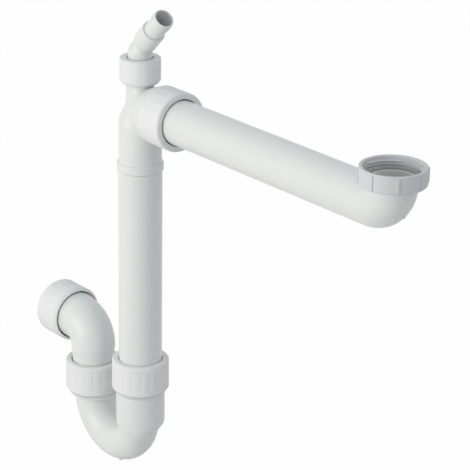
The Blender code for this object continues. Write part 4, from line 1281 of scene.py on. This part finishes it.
class SINKTRAP_OT_trap(Builder, bpy.types.Operator):
    """Makes the U-bend with the two threaded sockets moulded onto it"""
    bl_idname = "sinktrap.trap"
    bl_label = "U-bend"

    # Degrees of the bend: the socket's straight foot, its ease at the heel and elsewhere, the
    # leg's ease on the inside, and the leg's flare and what follows it. The heel is HEEL_TURN
    # round from the outside of the bend.
    SOCKET_TURN = 1.5
    SHORT_EASE = 10.0
    LONG_EASE = 36.0
    LEG_EASE = 52.0
    FLARE = 4.0
    FLARE_END = 2.5
    HEEL_TURN = 50.0
    # Steps of the bend's outer and inner skins, and the rise of the stops over the bend
    STEPS = 112
    BORE_STEPS = 60
    STOP_RISE = 1.8 * MM

    def soften(self, bm, half, bend_start, slim, socket):
        """Lets the socket's foot run out slowly, except at the heel."""
        centre_x = RISER_X - half
        heel = math.radians(self.HEEL_TURN)
        for vert in bm.verts:
            aside = vert.co.x - centre_x
            below = bend_start - vert.co.z
            turn = math.degrees(math.atan2(below, aside)) - self.SOCKET_TURN
            if aside < 0.0 or not 0.0 < turn < self.LONG_EASE:
                continue
            reach = math.hypot(aside, below)
            across = reach - half
            radius = math.hypot(across, vert.co.y)
            if radius < slim - 0.1 * MM:
                continue
            toward = (across * math.cos(heel) + vert.co.y * math.sin(heel)) / radius
            share = min(1.0, turn / (self.SHORT_EASE + (self.LONG_EASE - self.SHORT_EASE)
                                     * min(1.0, 0.9 - 0.9 * toward)))
            size = (socket + (slim - socket) * smooth(share)) / radius
            moved = half + across * size
            vert.co.x = centre_x + aside / reach * moved
            vert.co.z = bend_start - below / reach * moved
            vert.co.y *= size

    def fill(self, bm, half, bend_start, slim, top, wide):
        """Widens the leg's inner side, where it leaves the collar, so that it runs out slowly."""
        centre_x = RISER_X - half
        heel = math.radians(self.HEEL_TURN)
        for vert in bm.verts:
            aside = centre_x - vert.co.x
            above = vert.co.z - bend_start
            if aside < 0.0 or above > top - bend_start - 0.05 * MM:
                continue
            if above > 0.0:
                travel = top - vert.co.z
                across = half - aside
                reach = aside
            else:
                reach = math.hypot(aside, above)
                travel = top - bend_start + half * math.atan2(-above, aside)
                across = half - reach
            radius = math.hypot(across, vert.co.y)
            if radius < slim - 0.1 * MM:
                continue
            toward = (across * math.cos(heel) + vert.co.y * math.sin(heel)) / radius
            run = half * math.radians(self.LEG_EASE) * min(1.0, max(0.0, 0.3 + 0.8 * toward))
            share = min(1.0, travel / max(run, 1.0 * MM))
            size = max(1.0, (wide + (slim - wide) * smooth(share)) / radius)
            moved = half - across * size
            vert.co.y *= size
            vert.co.x = centre_x - aside / reach * moved
            if above <= 0.0:
                vert.co.z = bend_start + above / reach * moved

    def execute(self, context):
        self.load(context)
        pipes = self.pipes
        nuts = self.nuts
        slim = pipes.radius - pipes.bend_taper
        half = 0.5 * (RISER_X - LEG_X)
        stub = half + slim + pipes.gate_length
        bend_start = (TRAP_FOOT + stub * math.cos(pipes.gate_turn)
                      + pipes.gate_radius * math.sin(pipes.gate_turn))
        mouth = RISER_NUT_TOP - nuts.flange - nuts.washer - nuts.seal_head - 3.0 * pipes.gap
        leg_mouth = mouth + LEG_NUT_TOP - RISER_NUT_TOP
        collar = RISER_NUT_TOP - nuts.length - pipes.gap
        leg_collar = collar + LEG_NUT_TOP - RISER_NUT_TOP
        socket = socket_radius(pipes)
        root = socket - nuts.thread_depth
        wide = pipes.radius + pipes.fit
        seat = wide + pipes.seat_width
        bore = slim - pipes.wall
        riser_stop = bend_start + self.STOP_RISE
        leg_stop = LEG_NUT_TOP - nuts.length + self.STOP_RISE
        bend_turn = 180.0 - self.FLARE - self.FLARE_END - self.SOCKET_TURN - self.SHORT_EASE
        outer = Route(0.0, mouth, DOWN, socket)
        outer.line(RIM_RUN)
        outer.line(ROOT_RUN, root)
        outer.line(mouth - HEAD_RUN - collar)
        outer.step(socket + pipes.collar_rise)
        outer.line(pipes.collar_length, socket)
        outer.line(collar - pipes.collar_length - bend_start)
        outer.bend(half, -self.SOCKET_TURN, 3)
        outer.bend(half, -self.SHORT_EASE, 16, slim)
        outer.bend(half, -bend_turn, self.STEPS)
        outer.bend(half, -self.FLARE, 6, pipes.radius + 1.2 * MM)
        outer.bend(half, -self.FLARE_END, 2)
        outer.line(leg_collar - bend_start, socket + pipes.collar_rise)
        outer.step(root)
        outer.line(leg_mouth - HEAD_RUN - leg_collar)
        outer.line(ROOT_RUN, socket)
        outer.line(RIM_RUN)
        inner = Route(0.0, mouth, DOWN, seat)
        inner.line(pipes.seat_depth, wide)
        inner.line(mouth - pipes.seat_depth - riser_stop)
        inner.step(bore)
        inner.line(riser_stop - bend_start)
        inner.bend(half, -180.0, self.BORE_STEPS)
        inner.line(leg_stop - bend_start)
        inner.step(wide)
        inner.line(leg_mouth - pipes.seat_depth - leg_stop)
        inner.line(pipes.seat_depth, seat)
        bm = pipe(outer, inner, pipes.sides)
        bmesh.ops.translate(bm, verts=bm.verts, vec=(RISER_X, 0.0, 0.0))
        self.soften(bm, half, bend_start, slim, socket)
        self.fill(bm, half, bend_start, slim, leg_collar, socket + pipes.collar_rise)
        round_edges(bm, pipes.edge_round, 3, 24.0)
        gate_foot = half + slim - 1.0 * MM
        gate = turned([(0.0, gate_foot), (pipes.gate_radius, gate_foot),
                       (pipes.gate_radius - 0.1 * MM, stub), (0.0, stub)], 24, False,
                      heading_frame(RISER_X - half, bend_start,
                                    DOWN + math.degrees(pipes.gate_turn)))
        round_edges(gate, 0.3 * MM)
        merge(bm, gate)
        for x, foot in ((RISER_X, collar), (LEG_X, leg_collar)):
            thread(bm, heading_frame(x, 0.0, UP), root, socket, foot + SOCKET_START, nuts.pitch,
                   SOCKET_TURNS, pipes.sides)
        piece(bm, "u_bend_with_sockets", "trap", "trap_bend", "moulded_plastic")
        return {"FINISHED"}


class SINKTRAP_OT_outlet(Builder, bpy.types.Operator):
    """Makes the outlet elbow with its threaded socket"""
    bl_idname = "sinktrap.outlet"
    bl_label = "Outlet Elbow"

    BEND_STEPS = 32
    TURNS = 1.6

    def execute(self, context):
        self.load(context)
        pipes = self.pipes
        nuts = self.nuts
        body = pipes.radius + pipes.outlet_rise
        bend = body + pipes.outlet_throat
        bend_foot = OUTLET_AXIS - bend
        socket = socket_radius(pipes)
        root = socket - nuts.thread_depth
        wide = pipes.radius + pipes.fit
        relief = OUTLET_MOUTH - pipes.outlet_thread
        stop = OUTLET_NUT_REACH - nuts.length + pipes.outlet_stop
        outer = Route(0.0, LEG_FOOT, UP, pipes.radius - 0.7 * MM)
        outer.line(1.0 * MM, pipes.radius)
        outer.line(bend_foot - LEG_FOOT - 1.0 * MM - pipes.outlet_ease)
        outer.ease(pipes.outlet_ease, body, 12)
        outer.bend(bend, LEFT - UP, self.BEND_STEPS)
        outer.line(1.0 * MM)
        outer.ease(1.0 * MM, body + pipes.outlet_collar, 4)
        outer.line(relief - bend - 2.0 * MM)
        outer.step(socket)
        outer.line(1.0 * MM)
        outer.line(ROOT_RUN, root)
        outer.line(pipes.outlet_thread - 6.6 * MM)
        outer.line(ROOT_RUN, socket)
        outer.line(RIM_RUN)
        inner = Route(0.0, LEG_FOOT, UP, pipes.radius - pipes.wall)
        inner.line(bend_foot - LEG_FOOT)
        inner.bend(bend, LEFT - UP, self.BEND_STEPS)
        inner.line(stop - bend)
        inner.step(wide)
        inner.line(OUTLET_MOUTH - pipes.seat_depth - stop)
        inner.line(pipes.seat_depth, wide + pipes.seat_width)
        bm = pipe(outer, inner, pipes.sides)
        bmesh.ops.translate(bm, verts=bm.verts, vec=(LEG_X, 0.0, 0.0))
        round_edges(bm, 0.3 * MM, 3, 24.0)
        thread(bm, heading_frame(LEG_X, OUTLET_AXIS, LEFT), root, socket, relief + 2.6 * MM,
               nuts.pitch, self.TURNS, pipes.sides)
        piece(bm, "outlet_bend", "outlet", "outlet_elbow", "moulded_plastic")
        return {"FINISHED"}


class SINKTRAP_OT_stage(Builder, bpy.types.Operator):
    """Sets up the camera, the lamps, the even light and the pale floor"""
    bl_idname = "sinktrap.stage"
    bl_label = "Studio"

    SENSOR = 36.0
    FLOOR_SIZE = 6.0
    FLOOR_GAP = 0.5 * MM

    def execute(self, context):
        self.load(context)
        scene = context.scene
        studio = self.studio
        scene.view_settings.view_transform = "Standard"
        turn = studio.azimuth
        tilt = studio.elevation
        back = Vector((math.sin(turn) * math.cos(tilt), -math.cos(turn) * math.cos(tilt),
                       math.sin(tilt)))
        level = Vector((math.cos(turn), math.sin(turn), 0.0))
        rise = back.cross(level)
        roll = studio.roll
        right = math.cos(roll) * level + math.sin(roll) * rise
        up = math.cos(roll) * rise - math.sin(roll) * level
        view = Matrix.Identity(4)
        view.col[0].xyz = right
        view.col[1].xyz = up
        view.col[2].xyz = back
        view.col[3].xyz = Vector(studio.aim) + back * studio.distance
        camera = bpy.data.objects.new("camera", bpy.data.cameras.new("camera"))
        camera.data.sensor_width = self.SENSOR
        camera.data.lens = studio.lens
        camera.data.clip_end = 30.0
        camera.matrix_world = view
        scene.collection.objects.link(camera)
        scene.camera = camera

        self.key(scene)
        self.sky(scene)
        self.floor(scene)
        return {"FINISHED"}

    def key(self, scene):
        """A soft box, low and to the camera's left."""
        studio = self.studio
        turn = studio.azimuth + studio.key_turn
        height = studio.key_height
        away = Vector((math.sin(turn) * math.cos(height), -math.cos(turn) * math.cos(height),
                       math.sin(height)))
        data = bpy.data.lights.new("key", "AREA")
        data.shape = "SQUARE"
        data.size = studio.key_size
        data.energy = studio.key_power
        data.color = studio.key_shade
        lamp = bpy.data.objects.new("key", data)
        lamp.location = 0.5 * (CAD_BOX[0] + CAD_BOX[1]) + away * studio.key_reach
        lamp.rotation_euler = away.to_track_quat("Z", "Y").to_euler()
        scene.collection.objects.link(lamp)

    def sky(self, scene):
        """Even light for the object, and plain white for what the camera sees behind it."""
        world = bpy.data.worlds.new("even_light")
        scene.world = world
        world.use_nodes = True
        tree = world.node_tree
        shown = tree.nodes["Background"]
        shown.inputs["Color"].default_value = (1.0, 1.0, 1.0, 1.0)
        shown.inputs["Strength"].default_value = 1.0
        even = tree.nodes.new("ShaderNodeBackground")
        even.inputs["Color"].default_value = (*self.studio.sky_shade, 1.0)
        even.inputs["Strength"].default_value = self.studio.sky
        path = tree.nodes.new("ShaderNodeLightPath")
        seen = path.outputs["Is Camera Ray"]
        for kind in ("Is Transmission Ray", "Is Glossy Ray"):
            total = tree.nodes.new("ShaderNodeMath")
            total.operation = "ADD"
            tree.links.new(seen, total.inputs[0])
            tree.links.new(path.outputs[kind], total.inputs[1])
            seen = total.outputs[0]
        mixed = tree.nodes.new("ShaderNodeMixShader")
        tree.links.new(seen, mixed.inputs["Fac"])
        tree.links.new(even.outputs[0], mixed.inputs[1])
        tree.links.new(shown.outputs[0], mixed.inputs[2])
        tree.links.new(mixed.outputs[0], tree.nodes["World Output"].inputs["Surface"])

    def floor(self, scene):
        """A pale floor just under the trap, which keeps a little of its shadow."""
        bm = bmesh.new()
        place = Matrix.Translation((middle("trap_bend").x, 0.0, CAD_BOX[0].z - self.FLOOR_GAP))
        bmesh.ops.create_grid(bm, x_segments=1, y_segments=1, size=self.FLOOR_SIZE, matrix=place)
        mesh = bpy.data.meshes.new("floor")
        bm.to_mesh(mesh)
        bm.free()
        floor = bpy.data.objects.new("floor", mesh)
        scene.collection.objects.link(floor)
        paint = Paint("floor_white")
        shade = self.studio.floor_shade
        paint.skin(Base_Color=(shade, shade, shade, 1.0), Roughness=0.9)
        path = paint.add("ShaderNodeLightPath", output="Is Camera Ray")
        node = path.socket.node
        glossy = Signal(paint, node.outputs["Is Glossy Ray"])
        through = Signal(paint, node.outputs["Is Transmission Ray"])
        seen = (path + glossy + through) * self.studio.floor_white
        plain = paint.add("ShaderNodeEmission", sockets={"Color": (1.0, 1.0, 1.0, 1.0),
                                                         "Strength": 1.0})
        mixed = paint.add("ShaderNodeMixShader", sockets={
            0: seen, 1: Signal(paint, paint.shader.outputs[0]), 2: plain})
        paint.join(mixed, paint.output.inputs["Surface"])
        mesh.materials.append(paint.material)


class SINKTRAP_PT_panel(bpy.types.Panel):
    """Lists the trap's sizes, finishes and pieces"""
    bl_label = "Sink Trap"
    bl_idname = "SINKTRAP_PT_panel"
    bl_space_type = "VIEW_3D"
    bl_region_type = "UI"
    bl_category = "Sink Trap"

    def draw(self, context):
        layout = self.layout
        for group, title in GROUPS:
            box = layout.box()
            box.label(text=title)
            settings = getattr(context.scene, group)
            for name in settings.bl_rna.properties.keys():
                if name not in ("rna_type", "name"):
                    box.prop(settings, name)
        for operator in OPERATORS:
            layout.operator(operator.bl_idname)


GROUPS = (
    ("sink_trap_pipes", "Pipes"),
    ("sink_trap_tee", "Tee"),
    ("sink_trap_nuts", "Nuts"),
    ("sink_trap_nozzle", "Nozzle"),
    ("sink_trap_finish", "Finish"),
    ("sink_trap_studio", "Studio"),
)
SETTINGS = (SinkTrapPipes, SinkTrapTee, SinkTrapNuts, SinkTrapNozzle, SinkTrapFinish,
            SinkTrapStudio)
OPERATORS = (
    SINKTRAP_OT_stage,
    SINKTRAP_OT_inlet_arm,
    SINKTRAP_OT_union_nut,
    SINKTRAP_OT_tee,
    SINKTRAP_OT_riser,
    SINKTRAP_OT_slip_nuts,
    SINKTRAP_OT_slip_rings,
    SINKTRAP_OT_hose_port,
    SINKTRAP_OT_trap,
    SINKTRAP_OT_outlet,
)
CLASSES = SETTINGS + OPERATORS + (SINKTRAP_PT_panel,)


def register():
    for kind in CLASSES:
        bpy.utils.register_class(kind)
    for (group, _), kind in zip(GROUPS, SETTINGS):
        setattr(bpy.types.Scene, group, PointerProperty(type=kind))


def unregister():
    for group, _ in GROUPS:
        delattr(bpy.types.Scene, group)
    for kind in reversed(CLASSES):
        bpy.utils.unregister_class(kind)


def main():
    register()
    bpy.ops.sinktrap.stage()
    bpy.ops.sinktrap.inlet_arm()
    bpy.ops.sinktrap.union_nut()
    bpy.ops.sinktrap.tee()
    bpy.ops.sinktrap.riser()
    bpy.ops.sinktrap.slip_nuts()
    bpy.ops.sinktrap.slip_rings()
    bpy.ops.sinktrap.hose_port()
    bpy.ops.sinktrap.trap()
    bpy.ops.sinktrap.outlet()


if __name__ == "__main__":
    main()
